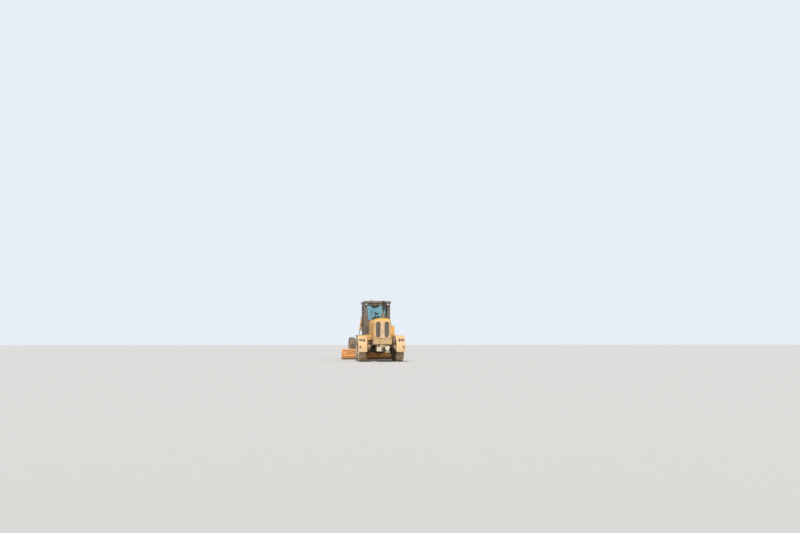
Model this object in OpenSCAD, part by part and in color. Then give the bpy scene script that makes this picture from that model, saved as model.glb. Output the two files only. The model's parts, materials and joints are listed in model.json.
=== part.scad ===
// Motor grader with an articulated frame, a tandem drive and a side-shifting blade.
// Millimetres. +Y is forward, +X is right, +Z is up, and the ground is at Z 0.
// The origin is on the ground below the middle of the machine's outline.

/* [Overall] */
// Tandem centre to front axle
wheelbase = 6100; // [5900:50:6300]
// Rear end behind the tandem centre
rear_overhang = 1950; // [1900:10:2100]
// Front end ahead of the front axle
front_overhang = 750; // [700:10:900]
// Distance between the wheel planes of an axle
track = 2060; // [2040:10:2140]
// Top of the cab roof above the ground
cab_height = 3380; // [3300:10:3500]

/* [Wheels] */
// Tyre diameter over the lugs
tyre_d = 1340; // [1300:10:1360]
// Tyre width
tyre_w = 375; // [350:5:385]
// Seat diameter of the tyre on its rim
rim_d = 610; // [590:10:630]
// Distance between the two axles of a tandem
tandem_pitch = 1520; // [1480:10:1580]
// Radial clearance of every running fit
fit = 0.05; // [0.02:0.01:0.09]

/* [Rear frame] */
// Width of a frame rail
rail_w = 100; // [80:5:120]
// Depth of a frame rail
rail_h = 280; // [240:10:320]
// Underside of the rails above the ground
rail_z = 900; // [880:10:940]
// Distance of the rails' outer faces from each other
rail_span = 800; // [760:10:840]
// Articulation pin ahead of the tandem centre
artic_ahead = 2450; // [2400:10:2500]
// Articulation pin diameter
artic_pin_d = 90; // [70:5:110]
// Width of the rear bumper
bumper_w = 1000; // [900:10:1100]
// Diameter of the tow pin hole in the rear hitch
tow_pin_d = 50; // [40:1:60]

/* [Hood] */
// Outside width of the hood
hood_w = 940; // [920:10:980]
// Top of the hood above the ground
hood_top = 2320; // [2250:10:2400]
// Radius of the hood's top corners
hood_r = 260; // [200:10:320]
// Thickness of the hood's skin with its stiffeners
hood_wall = 25; // [18:1:32]

/* [Cab] */
// Outside width of the cab
cab_w = 1480; // [1460:10:1520]
// Outside length of the cab
cab_l = 1450; // [1420:10:1480]
// Underside of the cab floor above the ground
cab_floor_z = 1450; // [1445:1:1460]
// Thickness of the cab's walls and posts
cab_wall = 60; // [50:2:70]
// How far the roof reaches beyond each side of the cab
roof_over = 50; // [30:5:90]
// Thickness of the roof
roof_h = 120; // [100:5:140]
// Thickness of the glass
glass_t = 6; // [5:1:8]
// Radius of the handrails
grip_r = 16; // [14:1:19]

/* [Front frame] */
// Width of the front frame's box beam
beam_w = 280; // [240:10:300]
// Depth of the beam over the circle
beam_h = 300; // [260:10:340]
// Underside of the beam over the circle
beam_z = 1640; // [1620:10:1700]
// Width of the front push plate
plate_w = 900; // [800:10:1000]

/* [Blade] */
// Length of the mouldboard
blade_l = 3660; // [3400:20:3800]
// Height of the mouldboard with its cutting edge
blade_h = 610; // [600:5:620]
// Thickness of the mouldboard
blade_t = 20; // [16:1:24]
// Front axle to the centre of the circle
blade_base = 2400; // [2350:10:2450]
// Outside diameter of the circle
circle_d = 1520; // [1500:10:1540]
// Cutting edge above the ground at rest
edge_z = 20; // [10:5:40]

/* [Hidden] */
$fn = 48;

// Finishes, as the photograph shows them
dusty = "#dcb877";
clean = "#f2a93c";
charcoal = "#4c4745";
glass_tint = "#6fb3b5";
rubber = "#6b635c";
steel = "#8c8780";

// Places along the machine
tandem_y = -(wheelbase + rear_overhang + front_overhang) / 2 + rear_overhang;
rear_end = tandem_y - rear_overhang;
front_y = tandem_y + wheelbase;
front_end = front_y + front_overhang;
artic_y = tandem_y + artic_ahead;
circle_y = front_y - blade_base;
rear_wheel_y = tandem_y - tandem_pitch / 2;
mid_wheel_y = tandem_y + tandem_pitch / 2;
wheel_r = tyre_d / 2;
tail_z = 1180;

// Wheels
bead_r = rim_d / 2;
lug_n = 18;
lug_h = 38;
lug_lead = 10;
rim_wall = 18;
rim_in = 288;
flange_h = 24;
hub_r = 125;
stub_r = 70;
disc_t = 24;
case_in = track / 2 - 430;
case_w = 200;
case_r = 250;
stub_end = track / 2 + 110;

// Rear frame
rail_out = rail_span / 2;
rail_in = rail_out - rail_w;
rail_top = rail_z + rail_h;
head_y = artic_y - 450;
head_front = artic_y - 250;
head_z = 735;
lug_t = 60;
lug_gap = 5;
lug_low_z = 800;
lug_high_z = 1150;
lug_r = 120;
axle_r = 190;

// Hood
hood_rear = rear_end + 250;
hood_front = tandem_y + 900;
hood_base = rail_top;
door_gap = 8;
pin_r = 8;
eye_r = 16;
eye_w = 60;
side_door = [[tandem_y - 1250, tandem_y + 420], [hood_base + 310, hood_top - 290]];
side_hinge_x = hood_w / 2 + 18;
side_hinge_y = [side_door[0][0] + 250, side_door[0][1] - 250];
rear_hinge_x = -hood_w / 2 + 30;
rear_hinge_y = hood_rear - 50;
grille_t = 40;
grille_w = hood_w - 100;
grille_z = [hood_base + 70, hood_top - 120];
rear_hinge_z = [grille_z[0] + 150, grille_z[1] - 150];
engine_half = hood_w / 2 - 70;
engine_top = hood_top - 370;
core_half = hood_w / 2 - 60;
core_top = hood_top - 160;
neck_z = hood_top + 300;
stack_z = neck_z + 200;
stack_r = 55;
stack_wall = 6;
stack_top = cab_height - 40;
box_w = 240;

// Mudguards and tail lamps
guard_w = 460;
guard_t = 12;
guard_gap = 60;
guard_z = [tail_z - 640, tail_z + 320];
lamp_deep = 45;

// Cab
cab_rear = hood_front + 50;
cab_front = cab_rear + cab_l;
cab_top = cab_height - roof_h;
floor_t = 50;
floor_top = cab_floor_z + floor_t;
door_y = [cab_rear + 200, cab_rear + 1150];
cab_hinge_y = door_y[0] - 10;
door_z = [floor_top + 10, cab_top - 120];
cab_hinge_x = cab_w / 2 + 18;
cab_hinge_z = [door_z[0] + 240, door_z[1] - 240];
grip_z = [cab_floor_z + 250, cab_floor_z + 1050];
sill_z = cab_floor_z + 300;
door_t = 50;
window_z = [cab_floor_z + 700, cab_top - 80];
platform_z = [cab_floor_z - 70, cab_floor_z - 10];
platform_out = 1100;
tank_x = [hood_w / 2 + 220, hood_w / 2 + 470];
tank_top = cab_floor_z + 490;
work_lamp_r = 60;
beacon_r = 50;

// Front frame
beam_top = beam_z + beam_h;
nose_z = [1010, 1330];
plate_t = 50;
plate_z = [850, 1300];
plate_hole_x = 350;
plate_hole_z = [950, 1200];
plate_hole_d = 26;
spindle_r = 50;
saddle_y = circle_y - 150;
trunnion = [680, 2150];
trunnion_r = 35;
stud_x = 900;
lift_r = 60;
rod_r = 30;
lift_up = 620;
lift_down = 350;
eye_gap = 25;
axle_z = wheel_r;
lean_x = track / 2 - 260;
lean_r = 30;
king_x = track / 2 - 140;
king_r = 25;
king_half = 110;
bar_z = axle_z + 190;
bar_pin_r = 15;

// Drawbar, circle and blade
ball_y = front_y - 450;
ball_z = 940;
draw_z = [890, 990];
ring_z = [800, 880];
ring_in = 600;
ring_out = circle_d / 2;
tooth_n = 60;
tooth_h = 12;
shoe_in = 550;
drive_y = circle_y + 500;
arm_x = [520, 580];
carrier_x = [458, 514];
tip_y = circle_y - 230;
tip_z = 400;
curve_r = 400;
curve_y = circle_y + 300;
curve_z = 395;
edge_top = 110;
blade_top = edge_z + blade_h;
rail_zs = [240, 560];
guide_gap = 0.5;
rail_half = 1200;
shift_r = 30;
shift_rod_r = 18;
shift_y = curve_y - curve_r - 35;
shift_z = 440;
stud_top = draw_z[1] + 30;
rod_lean = atan((stud_x - trunnion[0]) / (trunnion[1] - stud_top));
rod_reach = (trunnion[1] - stud_top) / cos(rod_lean) - eye_gap;

// A box between two corners, given as a pair for each axis
module span(x, y, z) {
    translate([x[0], y[0], z[0]]) cube([x[1] - x[0], y[1] - y[0], z[1] - z[0]]);
}

// Cylinders along each axis
module along_x(r, x, y, z) {
    translate([x[0], y, z]) rotate([0, 90, 0]) cylinder(r = r, h = x[1] - x[0]);
}

module along_y(r, x, y, z) {
    translate([x, y[1], z]) rotate([90, 0, 0]) cylinder(r = r, h = y[1] - y[0]);
}

module along_z(r, x, y, z) {
    translate([x, y, z[0]]) cylinder(r = r, h = z[1] - z[0]);
}

// A side view outline, given as Y and Z, made thick from x[0] to x[1]
module side_view(x, points) {
    translate([x[0], 0, 0]) rotate([90, 0, 90]) linear_extrude(x[1] - x[0]) polygon(points);
}

// A rear view outline of X and Z, made long from y[0] to y[1]
module rear_view(y) {
    translate([0, y[1], 0]) rotate([90, 0, 0]) linear_extrude(y[1] - y[0]) children();
}

module both() {
    children();
    mirror([1, 0, 0]) children();
}

// Fixed half of a standing hinge: its pin and the knuckle under the door's eye
module hinge_pin_z(x, y, z) {
    along_z(pin_r, x, y, [z - eye_w / 2 - 20, z + eye_w / 2 + 1]);
    along_z(eye_r, x, y, [z - eye_w / 2 - 21, z - eye_w / 2 - 0.3]);
}

module left() {
    mirror([1, 0, 0]) children();
}

// Rear frame: rails, outriggers, articulation head, bumper and tow hitch
module rear_frame() {
    color(dusty) difference() {
        union() {
            both() span([rail_in, rail_out], [hood_rear - 10, head_front], [rail_z, rail_top]);
            for (y = [hood_rear + 40, tandem_y - 500, tandem_y + 300, hood_front - 140])
                span([-hood_w / 2, hood_w / 2], [y, y + 100], [rail_top - 80, rail_top]);
            for (y = [cab_rear + 60, head_front - 120])
                both() span([rail_in, rail_out], [y, y + 100], [rail_top - 10, cab_floor_z]);
            span([-rail_out, rail_out], [head_y, head_front], [head_z, lug_high_z + 2 * lug_t + lug_gap]);
            for (z = [head_z, lug_high_z + lug_t + lug_gap]) {
                span([-lug_r - 10, lug_r + 10], [head_front - 10, artic_y], [z, z + lug_t]);
                along_z(lug_r + 10, 0, artic_y, [z, z + lug_t]);
            }
            span([-bumper_w / 2, bumper_w / 2], [hood_rear - 150, hood_rear], [950, 1230]);
            span([-60, 60], [rear_end, hood_rear], [700, 740]);
            span([-60, 60], [rear_end, hood_rear], [580, 620]);
            span([-150, 150], [hood_rear - 100, hood_rear], [540, 960]);
        }
        along_z(tow_pin_d / 2, 0, rear_end + 60, [560, 760]);
        span([-61, 61], [rear_end - 1, rear_end + 120], [620, 700]);
    }
    color(steel) along_z(artic_pin_d / 2, 0, artic_y, [head_z - 30, lug_high_z + 2 * lug_t + lug_gap + 30]);
}

module rear_axle() {
    color(dusty) {
        along_x(axle_r, [-case_in, case_in], tandem_y, wheel_r);
        along_x(axle_r + 45, [-210, 210], tandem_y, wheel_r);
        both() span([rail_in, rail_out], [tandem_y - 150, tandem_y + 150], [wheel_r, rail_z]);
    }
}

module tandem_cases() {
    color(dusty) both() {
        span([case_in, case_in + case_w], [rear_wheel_y, mid_wheel_y], [wheel_r - case_r, wheel_r + case_r]);
        for (y = [rear_wheel_y, mid_wheel_y]) {
            along_x(case_r, [case_in, case_in + case_w], y, wheel_r);
            along_x(stub_r, [case_in + case_w, stub_end], y, wheel_r);
        }
    }
}

// Cross section of a tyre from one bead over the tread to the other: radius, place along the axle
// and how far its lug runs ahead, for a station on a lug or in a groove
function half_section(on_lug) = [
    [(bead_r + fit) / cos(180 / (3 * lug_n)), -rim_in / 2 + 12, 0],
    [bead_r + 195, -tyre_w / 2, 0],
    on_lug ? [wheel_r - 45, -tyre_w / 2 + 6, 0] : [wheel_r - 80, -tyre_w / 2 + 14, 0],
    on_lug ? [wheel_r - 4, -tyre_w / 2 + 45, 0] : [wheel_r - lug_h, -tyre_w / 2 + 50, 0]];

function section(on_lug) = concat(
    half_section(on_lug),
    [[wheel_r - (on_lug ? 0 : lug_h), 0, lug_lead]],
    [for (i = [3:-1:0]) let (p = half_section(on_lug)[i]) [p[0], -p[1], p[2]]]);

// One tyre about the X axis, middle at x 0, with chevron lugs that point the way it rolls
module tyre() {
    pitch = 360 / lug_n;
    places = 9;
    rows = [for (n = [0:lug_n - 1])
        each [[n * pitch, true], [(n + 0.42) * pitch, true], [(n + 0.71) * pitch, false]]];
    count = len(rows);
    color(rubber) polyhedron(
        points = [for (k = [0:count - 1]) for (p = section(rows[k][1]))
            let (turn = (p[0] < bead_r + 100 ? k * 360 / count : rows[k][0]) + p[2])
            [p[1], p[0] * sin(turn), p[0] * cos(turn)]],
        faces = [for (k = [0:count - 1]) for (i = [0:places - 1]) let (
            a = k * places + i, b = k * places + (i + 1) % places,
            c = ((k + 1) % count) * places + (i + 1) % places, d = ((k + 1) % count) * places + i)
            each [[a, b, c], [a, c, d]]]);
}

// One rim about the X axis, middle of its seat at x 0, with its hub from x inner to x outer
module rim(bore_r, inner, outer, disc_x) {
    color(dusty) difference() {
        union() {
            rotate([0, 90, 0]) rotate_extrude($fn = 64) polygon([
                [bead_r - rim_wall, -rim_in / 2 - 16], [bead_r + flange_h, -rim_in / 2 - 16],
                [bead_r + flange_h, -rim_in / 2 - 1], [bead_r, -rim_in / 2 - 1],
                [bead_r, rim_in / 2 + 1], [bead_r + flange_h, rim_in / 2 + 1],
                [bead_r + flange_h, rim_in / 2 + 16], [bead_r - rim_wall, rim_in / 2 + 16]]);
            along_x(bead_r - rim_wall + 1, [disc_x, disc_x + disc_t], 0, 0);
            along_x(hub_r, [inner, outer], 0, 0);
        }
        along_x(bore_r + fit, [inner - 1, outer + 1], 0, 0);
    }
}

module drive_rim() {
    rim(stub_r, case_in + case_w + 20 - track / 2, stub_end - 10 - track / 2, 20);
}

module place_wheel(y) {
    translate([track / 2, y, wheel_r]) children();
}

module hood_outline(inset) {
    w = hood_w / 2 - inset;
    top = hood_top - inset;
    r = hood_r - inset;
    translate([-w, hood_base]) square([2 * w, top - r - hood_base]);
    translate([-w + r, hood_base]) square([2 * (w - r), top - hood_base]);
    for (s = [-1, 1]) translate([s * (w - r), top - r]) circle(r = r);
}

module hood() {
    color(dusty) difference() {
        rear_view([hood_rear, hood_front]) hood_outline(0);
        rear_view([hood_rear - 1, hood_front - hood_wall]) difference() {
            hood_outline(hood_wall);
            translate([-hood_w / 2, hood_base - 1]) square([hood_w, 1]);
        }
        span([-hood_w, hood_w], side_door[0], side_door[1]);
        span([-hood_w / 2 + hood_wall, hood_w / 2 - hood_wall], [hood_rear - 1, hood_front - hood_wall],
            [hood_base - 1, hood_base + 60]);
    }
    color(dusty) {
        both() for (y = side_hinge_y) {
            along_y(pin_r, side_hinge_x, [y - eye_w / 2 - 20, y + eye_w / 2], side_door[1][1]);
            along_y(eye_r, side_hinge_x, [y - eye_w / 2 - 20, y - eye_w / 2 - 0.3], side_door[1][1]);
            span([hood_w / 2 - 5, side_hinge_x], [y - eye_w / 2 - 20, y - eye_w / 2 - 0.3],
                [side_door[1][1], side_door[1][1] + eye_r]);
        }
        for (z = rear_hinge_z) {
            hinge_pin_z(rear_hinge_x, rear_hinge_y, z);
            span([-hood_w / 2, rear_hinge_x - 5], [rear_hinge_y, hood_rear + 1],
                [z - eye_w / 2 - 21, z - eye_w / 2 - 0.3]);
        }
    }
}

module hood_door() {
    color(dusty) difference() {
        union() {
            span([hood_w / 2 - hood_wall, hood_w / 2],
                [side_door[0][0] + door_gap, side_door[0][1] - door_gap],
                [side_door[1][0] + door_gap, side_door[1][1] - door_gap]);
            for (y = side_hinge_y) {
                along_y(eye_r, side_hinge_x, [y - eye_w / 2, y + eye_w / 2], side_door[1][1]);
                span([hood_w / 2 + 2, side_hinge_x + eye_r], [y - eye_w / 2, y + eye_w / 2],
                    [side_door[1][1] - 60, side_door[1][1]]);
                span([hood_w / 2 - 1, hood_w / 2 + 3], [y - eye_w / 2, y + eye_w / 2],
                    [side_door[1][1] - 60, side_door[1][1] - door_gap]);
            }
            for (y = [side_door[0][0] + 110:510:side_door[0][1] - 440])
                for (z = [side_door[1][0] + 90:52:side_door[1][1] - 110])
                    span([hood_w / 2 - 1, hood_w / 2 + 9], [y, y + 420], [z, z + 22]);
        }
        for (y = side_hinge_y)
            along_y(pin_r + fit, side_hinge_x, [y - eye_w / 2 - 1, y + eye_w / 2 + 1], side_door[1][1]);
    }
}

module hood_door_right() {
    hood_door();
}

module hood_door_left() {
    left() hood_door();
}

module engine() {
    color(charcoal) span([-engine_half, engine_half], [tandem_y - 700, tandem_y + 500],
        [rail_top, engine_top]);
}

module radiator() {
    color(charcoal) span([-core_half, core_half], [hood_rear + 60, hood_rear + 240], [rail_top, core_top]);
}

// Rear grille: a swinging frame with two tall openings
module grille_door() {
    slot_w = 240;
    slot_x = 230;
    bar_step = 58;
    bar_h = 14;
    color(dusty) for (s = [-1, 1]) for (z = [grille_z[0] + 90:bar_step:grille_z[1] - 90])
        span([s * slot_x - slot_w / 2 - 1, s * slot_x + slot_w / 2 + 1],
            [hood_rear - grille_t + 8, hood_rear - 16], [z, z + bar_h]);
    color(dusty) span([-45, 45], [hood_rear - grille_t - 13, hood_rear - grille_t], [1560, 1640]);
    color(dusty) difference() {
        span([-grille_w / 2, grille_w / 2], [hood_rear - grille_t - 1, hood_rear - 1], grille_z);
        for (s = [-1, 1]) {
            span([s * slot_x - slot_w / 2, s * slot_x + slot_w / 2], [hood_rear - 99, hood_rear + 9],
                [grille_z[0] + 60 + slot_w / 2, grille_z[1] - 60 - slot_w / 2]);
            for (z = [grille_z[0] + 60 + slot_w / 2, grille_z[1] - 60 - slot_w / 2])
                along_y(slot_w / 2, s * slot_x, [hood_rear - 99, hood_rear + 9], z);
        }
    }
    color(dusty) for (z = rear_hinge_z) difference() {
        union() {
            along_z(eye_r, rear_hinge_x, rear_hinge_y, [z - eye_w / 2, z + eye_w / 2]);
            span([rear_hinge_x, -grille_w / 2 + 30], [rear_hinge_y - eye_r, hood_rear - grille_t + 5],
                [z - eye_w / 2, z + eye_w / 2]);
        }
        along_z(pin_r + fit, rear_hinge_x, rear_hinge_y, [z - eye_w / 2 - 1, z + eye_w / 2 + 2]);
    }
}

// Exhaust: a raised base on the hood, a neck and a hollow stack with a slanted mouth
module exhaust() {
    x = 240;
    y = tandem_y - 150;
    color(dusty) difference() {
        along_z(75, x, y, [hood_top - 60, neck_z]);
        rear_view([y - 100, y + 100]) hood_outline(0);
    }
    color("black") {
        along_z(35, x, y, [neck_z, stack_z]);
        difference() {
            along_z(stack_r, x, y, [stack_z, stack_top]);
            along_z(stack_r - stack_wall, x, y, [stack_z + 60, stack_top + 1]);
            translate([x, y, stack_top + 30]) rotate([25, 0, 0])
                translate([-150, -150, -30]) cube([300, 300, 120]);
        }
    }
}

// Curved guards behind the rear wheels
module mudguards() {
    r = wheel_r + guard_gap;
    color(dusty) both() difference() {
        intersection() {
            along_x(r + guard_t, [track / 2 - guard_w / 2, track / 2 + guard_w / 2], rear_wheel_y, wheel_r);
            span([0, track], [rear_wheel_y - 900, rear_wheel_y - 60], guard_z);
        }
        along_x(r, [0, track], rear_wheel_y, wheel_r);
    }
    color(dusty) both() span([hood_w / 2, track / 2 - guard_w / 2 + 60],
        [rear_wheel_y - 130, rear_wheel_y - 60], [wheel_r + r, wheel_r + r + 45]);
}

module side_boxes() {
    color(clean) both() span([hood_w / 2, hood_w / 2 + box_w], [tandem_y - 600, tandem_y + 300],
        [rail_top, platform_z[1]]);
}

// Walkways beside the cab and the access ladders below them
module platforms() {
    out = platform_out;
    step = [cab_front - 940, cab_front - 600];
    step_z = [480, 780, 1080];
    post_w = 30;
    color(charcoal) both() {
        span([rail_out, out], [hood_front + 10, cab_front], platform_z);
        span([hood_w / 2 + 5, out], [hood_front - 380, hood_front + 10], platform_z);
        for (y = [step[0], step[1] - post_w])
            span([out - 60, out], [y, y + post_w], [step_z[0], platform_z[0]]);
        for (z = step_z) span([out - 200, out], step, [z, z + 40]);
    }
}

module oil_tank() {
    color(clean) span(tank_x, [hood_front - 350, cab_rear - 20], [platform_z[1], tank_top]);
}

// Lamps: tail lamps on the guards, work lamps under the roof's rear corners and the beacon on the roof
module lamps() {
    guard_out = wheel_r + guard_gap + guard_t;
    guard_y = rear_wheel_y - sqrt(pow(guard_out, 2) - pow(tail_z - 70 - wheel_r, 2)) - 0.3;
    color("#7a1f18") both() span([track / 2 - 120, track / 2 - 40], [guard_y - lamp_deep, guard_y],
        [tail_z - 60, tail_z + 60]);
    color("#3a3634") {
        both() span([track / 2 - 130, track / 2 - 30], [guard_y - lamp_deep, guard_y],
            [tail_z - 70, tail_z - 60]);
        both() along_y(work_lamp_r, cab_w / 2 - 120, [cab_rear - 90, cab_rear - 0.3], cab_top - 75);
    }
    color("#e08a2e") along_z(beacon_r, -300, cab_rear + 250, [cab_height, cab_height + 70]);
}

// Cab: a hollow tub with posts, its windows and doorways cut
module cab_shell() {
    w = cab_w / 2;
    color(charcoal) difference() {
        span([-w, w], [cab_rear, cab_front], [cab_floor_z, cab_top]);
        span([-w + cab_wall, w - cab_wall], [cab_rear + cab_wall, cab_front - cab_wall],
            [floor_top, cab_top + 1]);
        span([-w - 1, w + 1], door_y, [floor_top, door_z[1] + 10]);
        rear_view([cab_rear - 1, cab_rear + cab_wall + 1]) rear_window();
        span([-w + 90, w - 90], [cab_front - cab_wall - 1, cab_front + 1], [sill_z, window_z[1]]);
        span([-w - 1, w + 1], [door_y[1] + 60, cab_front - 70], [sill_z, window_z[1]]);
    }
    color(charcoal) both() {
        along_z(grip_r, w + 45, cab_front - 40, grip_z);
        for (z = [grip_z[0] + 30, grip_z[1] - 30]) along_x(grip_r - 2, [w - 5, w + 45], cab_front - 40, z);
    }
    color(charcoal) both() for (z = cab_hinge_z) {
        hinge_pin_z(cab_hinge_x, cab_hinge_y, z);
        span([w - 5, cab_hinge_x], [cab_hinge_y - eye_r, cab_hinge_y],
            [z - eye_w / 2 - 21, z - eye_w / 2 - 0.3]);
    }
}

module rear_window() {
    low = window_z[0] + 130;
    high = window_z[1] - 50;
    polygon([[-510, low], [510, low], [600, high], [-600, high]]);
}

module cab_roof() {
    over = roof_over;
    roof_w = cab_w + 2 * roof_over;
    bevel = 45;
    color(charcoal) intersection() {
        rear_view([cab_rear - over, cab_front + 2 * over]) polygon([
            [-roof_w / 2, cab_top], [roof_w / 2, cab_top], [roof_w / 2, cab_height - bevel],
            [roof_w / 2 - bevel, cab_height], [-roof_w / 2 + bevel, cab_height],
            [-roof_w / 2, cab_height - bevel]]);
        side_view([-roof_w / 2, roof_w / 2], [
            [cab_rear - over, cab_top], [cab_front + 2 * over, cab_top],
            [cab_front + 2 * over, cab_height - bevel],
            [cab_front + 2 * over - bevel, cab_height], [cab_rear - over + bevel, cab_height],
            [cab_rear - over, cab_height - bevel]]);
    }
}

module cab_glass() {
    w = cab_w / 2;
    mid = cab_wall / 2;
    color(glass_tint) {
        rear_view([cab_rear + mid, cab_rear + mid + glass_t]) rear_window();
        span([-w + 90, w - 90], [cab_front - mid - glass_t, cab_front - mid], [1750, window_z[1]]);
        both() span([w - mid - glass_t, w - mid], [door_y[1] + 60, cab_front - 70], [1750, window_z[1]]);
    }
}

module door_opening(x) {
    span(x, [door_y[0] + door_gap + 60, door_y[1] - door_gap - 60], [door_z[0] + 180, door_z[1] - 60]);
}

module cab_door() {
    w = cab_w / 2;
    color(charcoal) difference() {
        union() {
            span([w - door_t, w], [door_y[0] + door_gap, door_y[1] - door_gap], door_z);
            for (z = cab_hinge_z) {
                along_z(eye_r, cab_hinge_x, cab_hinge_y, [z - eye_w / 2, z + eye_w / 2]);
                span([w + 2, cab_hinge_x + eye_r], [cab_hinge_y, door_y[0] + 70],
                    [z - eye_w / 2, z + eye_w / 2]);
                span([w - 1, w + 3], [door_y[0] + door_gap, door_y[0] + 70], [z - eye_w / 2, z + eye_w / 2]);
            }
        }
        door_opening([w - 2 * door_t, w + door_t]);
        for (z = cab_hinge_z)
            along_z(pin_r + fit, cab_hinge_x, cab_hinge_y, [z - eye_w / 2 - 1, z + eye_w / 2 + 2]);
    }
}

module door_pane() {
    w = cab_w / 2 - door_t / 2;
    color(glass_tint) door_opening([w - glass_t / 2, w + glass_t / 2]);
}

module door_right() {
    cab_door();
}

module door_left() {
    left() cab_door();
}

module door_glass_right() {
    door_pane();
}

module door_glass_left() {
    left() door_pane();
}

module seat() {
    y = cab_rear + 330;
    color("#3a3634") {
        span([-150, 150], [y, y + 400], [floor_top, floor_top + 350]);
        span([-240, 240], [y - 20, y + 460], [floor_top + 350, floor_top + 480]);
        span([-220, 220], [y - 60, y + 60], [floor_top + 470, floor_top + 1080]);
        span([-110, 110], [y - 50, y + 40], [floor_top + 1070, floor_top + 1290]);
    }
}

module console() {
    y = cab_front - 330;
    color("#2f2c2b") {
        span([-70, 70], [y - 60, y + 90], [floor_top, floor_top + 780]);
        translate([0, y - 20, floor_top + 760]) rotate([20, 0, 0]) {
            cylinder(r = 25, h = 120);
            translate([0, 0, 110]) difference() {
                cylinder(r = 205, h = 30);
                translate([0, 0, -1]) cylinder(r = 170, h = 32);
            }
            translate([-180, -20, 115]) cube([360, 40, 20]);
        }
    }
}

module tyre_rear_right() {
    place_wheel(rear_wheel_y) tyre();
}

module tyre_rear_left() {
    left() place_wheel(rear_wheel_y) tyre();
}

module tyre_mid_right() {
    place_wheel(mid_wheel_y) tyre();
}

module tyre_mid_left() {
    left() place_wheel(mid_wheel_y) tyre();
}

module tyre_front_right() {
    place_wheel(front_y) tyre();
}

module tyre_front_left() {
    left() place_wheel(front_y) tyre();
}

module rim_rear_right() {
    place_wheel(rear_wheel_y) drive_rim();
}

module rim_rear_left() {
    left() place_wheel(rear_wheel_y) drive_rim();
}

module rim_mid_right() {
    place_wheel(mid_wheel_y) drive_rim();
}

module rim_mid_left() {
    left() place_wheel(mid_wheel_y) drive_rim();
}

module front_rim() {
    rim(spindle_r, king_x + 95 - track / 2, stub_end - 10 - track / 2, 40);
}

module rim_front_right() {
    place_wheel(front_y) front_rim();
}

module rim_front_left() {
    left() place_wheel(front_y) front_rim();
}

// Front frame: a box beam that rises over the circle, with its articulation lugs and drawbar bracket
module front_frame() {
    w = beam_w / 2;
    rear_face = artic_y + 180;
    color(clean) difference() {
        union() {
            side_view([-w, w], [
                [rear_face, lug_low_z - 40], [rear_face + 290, lug_low_z - 40], [rear_face + 290, beam_z],
                [circle_y + 1000, beam_z], [front_y - 300, nose_z[0]], [front_end - 150, nose_z[0]],
                [front_end - 150, nose_z[1] - 80], [front_y - 350, nose_z[1]], [circle_y + 1050, beam_top],
                [rear_face + 240, beam_top], [rear_face, beam_top - 240]]);
            for (z = [lug_low_z, lug_high_z]) {
                span([-lug_r, lug_r], [artic_y, rear_face + 10], [z, z + lug_t]);
                along_z(lug_r, 0, artic_y, [z, z + lug_t]);
            }
            span([-40, 40], [ball_y, ball_y + 200], [ball_z + 42, nose_z[0] + 60]);
            along_z(40, 0, ball_y, [ball_z + 42, ball_z + 82]);
            along_z(40, 0, ball_y, [ball_z - 82, ball_z - 42]);
            span([-40, 40], [ball_y, ball_y + 200], [ball_z - 82, ball_z - 42]);
            span([-40, 40], [ball_y + 100, ball_y + 200], [ball_z - 82, nose_z[0] + 60]);
        }
        along_z(artic_pin_d / 2 + fit, 0, artic_y, [lug_low_z - 1, lug_high_z + lug_t + 1]);
        along_z(25 + fit, 0, ball_y, [ball_z - 83, ball_z + 83]);
    }
}

// Push plate with its four mounting holes, on a stem ahead of the beam
module push_plate() {
    color(clean) difference() {
        union() {
            span([-plate_w / 2, plate_w / 2], [front_end - plate_t, front_end], plate_z);
            span([-beam_w / 2, beam_w / 2], [front_end - 150, front_end - plate_t + 1],
                [plate_z[0] + 60, plate_z[1] - 40]);
        }
        both() for (z = plate_hole_z)
            along_y(plate_hole_d / 2, plate_hole_x, [front_end - plate_t - 1, front_end + 1], z);
    }
}

// Headlamps on a bar across the beam's top
module headlamps() {
    y = circle_y + 700;
    color(clean) span([-520, 520], [y, y + 60], [beam_top + 0.3, beam_top + 50]);
    color(charcoal) both() {
        span([400, 520], [y - 20, y + 70], [beam_top + 49, beam_top + 190]);
        along_y(55, 460, [y + 69, y + 95], beam_top + 120);
    }
}

// Saddle that clamps the beam and holds the lift cylinders by their trunnions
module saddle() {
    w = beam_w / 2;
    color(clean) difference() {
        union() {
            span([-w - 60, w + 60], [saddle_y - 105, saddle_y + 105], [beam_z - 50, beam_top + 60]);
            both() rear_view([saddle_y - 105, saddle_y + 105]) polygon([
                [w, beam_z + 60], [trunnion[0] - 80, trunnion[1] - 90], [trunnion[0] + 60, trunnion[1] - 70],
                [trunnion[0] + 60, trunnion[1] + 70], [trunnion[0] - 80, trunnion[1] + 70],
                [w, beam_top + 60]]);
        }
        span([-w, w], [saddle_y - 106, saddle_y + 106], [beam_z, beam_top]);
        both() {
            span([trunnion[0] - 145, trunnion[0] + 61], [saddle_y - 75, saddle_y + 75],
                [trunnion[1] - 200, trunnion[1] + 200]);
            along_y(trunnion_r + fit, trunnion[0], [saddle_y - 106, saddle_y + 106], trunnion[1]);
        }
    }
}

// Frame of a lift cylinder: Z up along its axis, with the trunnion at its origin
module lift_frame() {
    translate([trunnion[0], saddle_y, trunnion[1]]) rotate([0, -rod_lean, 0]) children();
}

module lift_barrel() {
    lift_frame() color(clean) difference() {
        union() {
            cylinder(r = lift_r, h = lift_up);
            translate([0, 0, -lift_down]) cylinder(r = lift_r, h = lift_down + 1);
            rotate([90, 0, 0]) translate([0, 0, -110]) cylinder(r = trunnion_r, h = 220);
        }
        translate([0, 0, -lift_down - 1]) cylinder(r = rod_r + fit, h = lift_down + lift_up - 39);
    }
}

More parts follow.
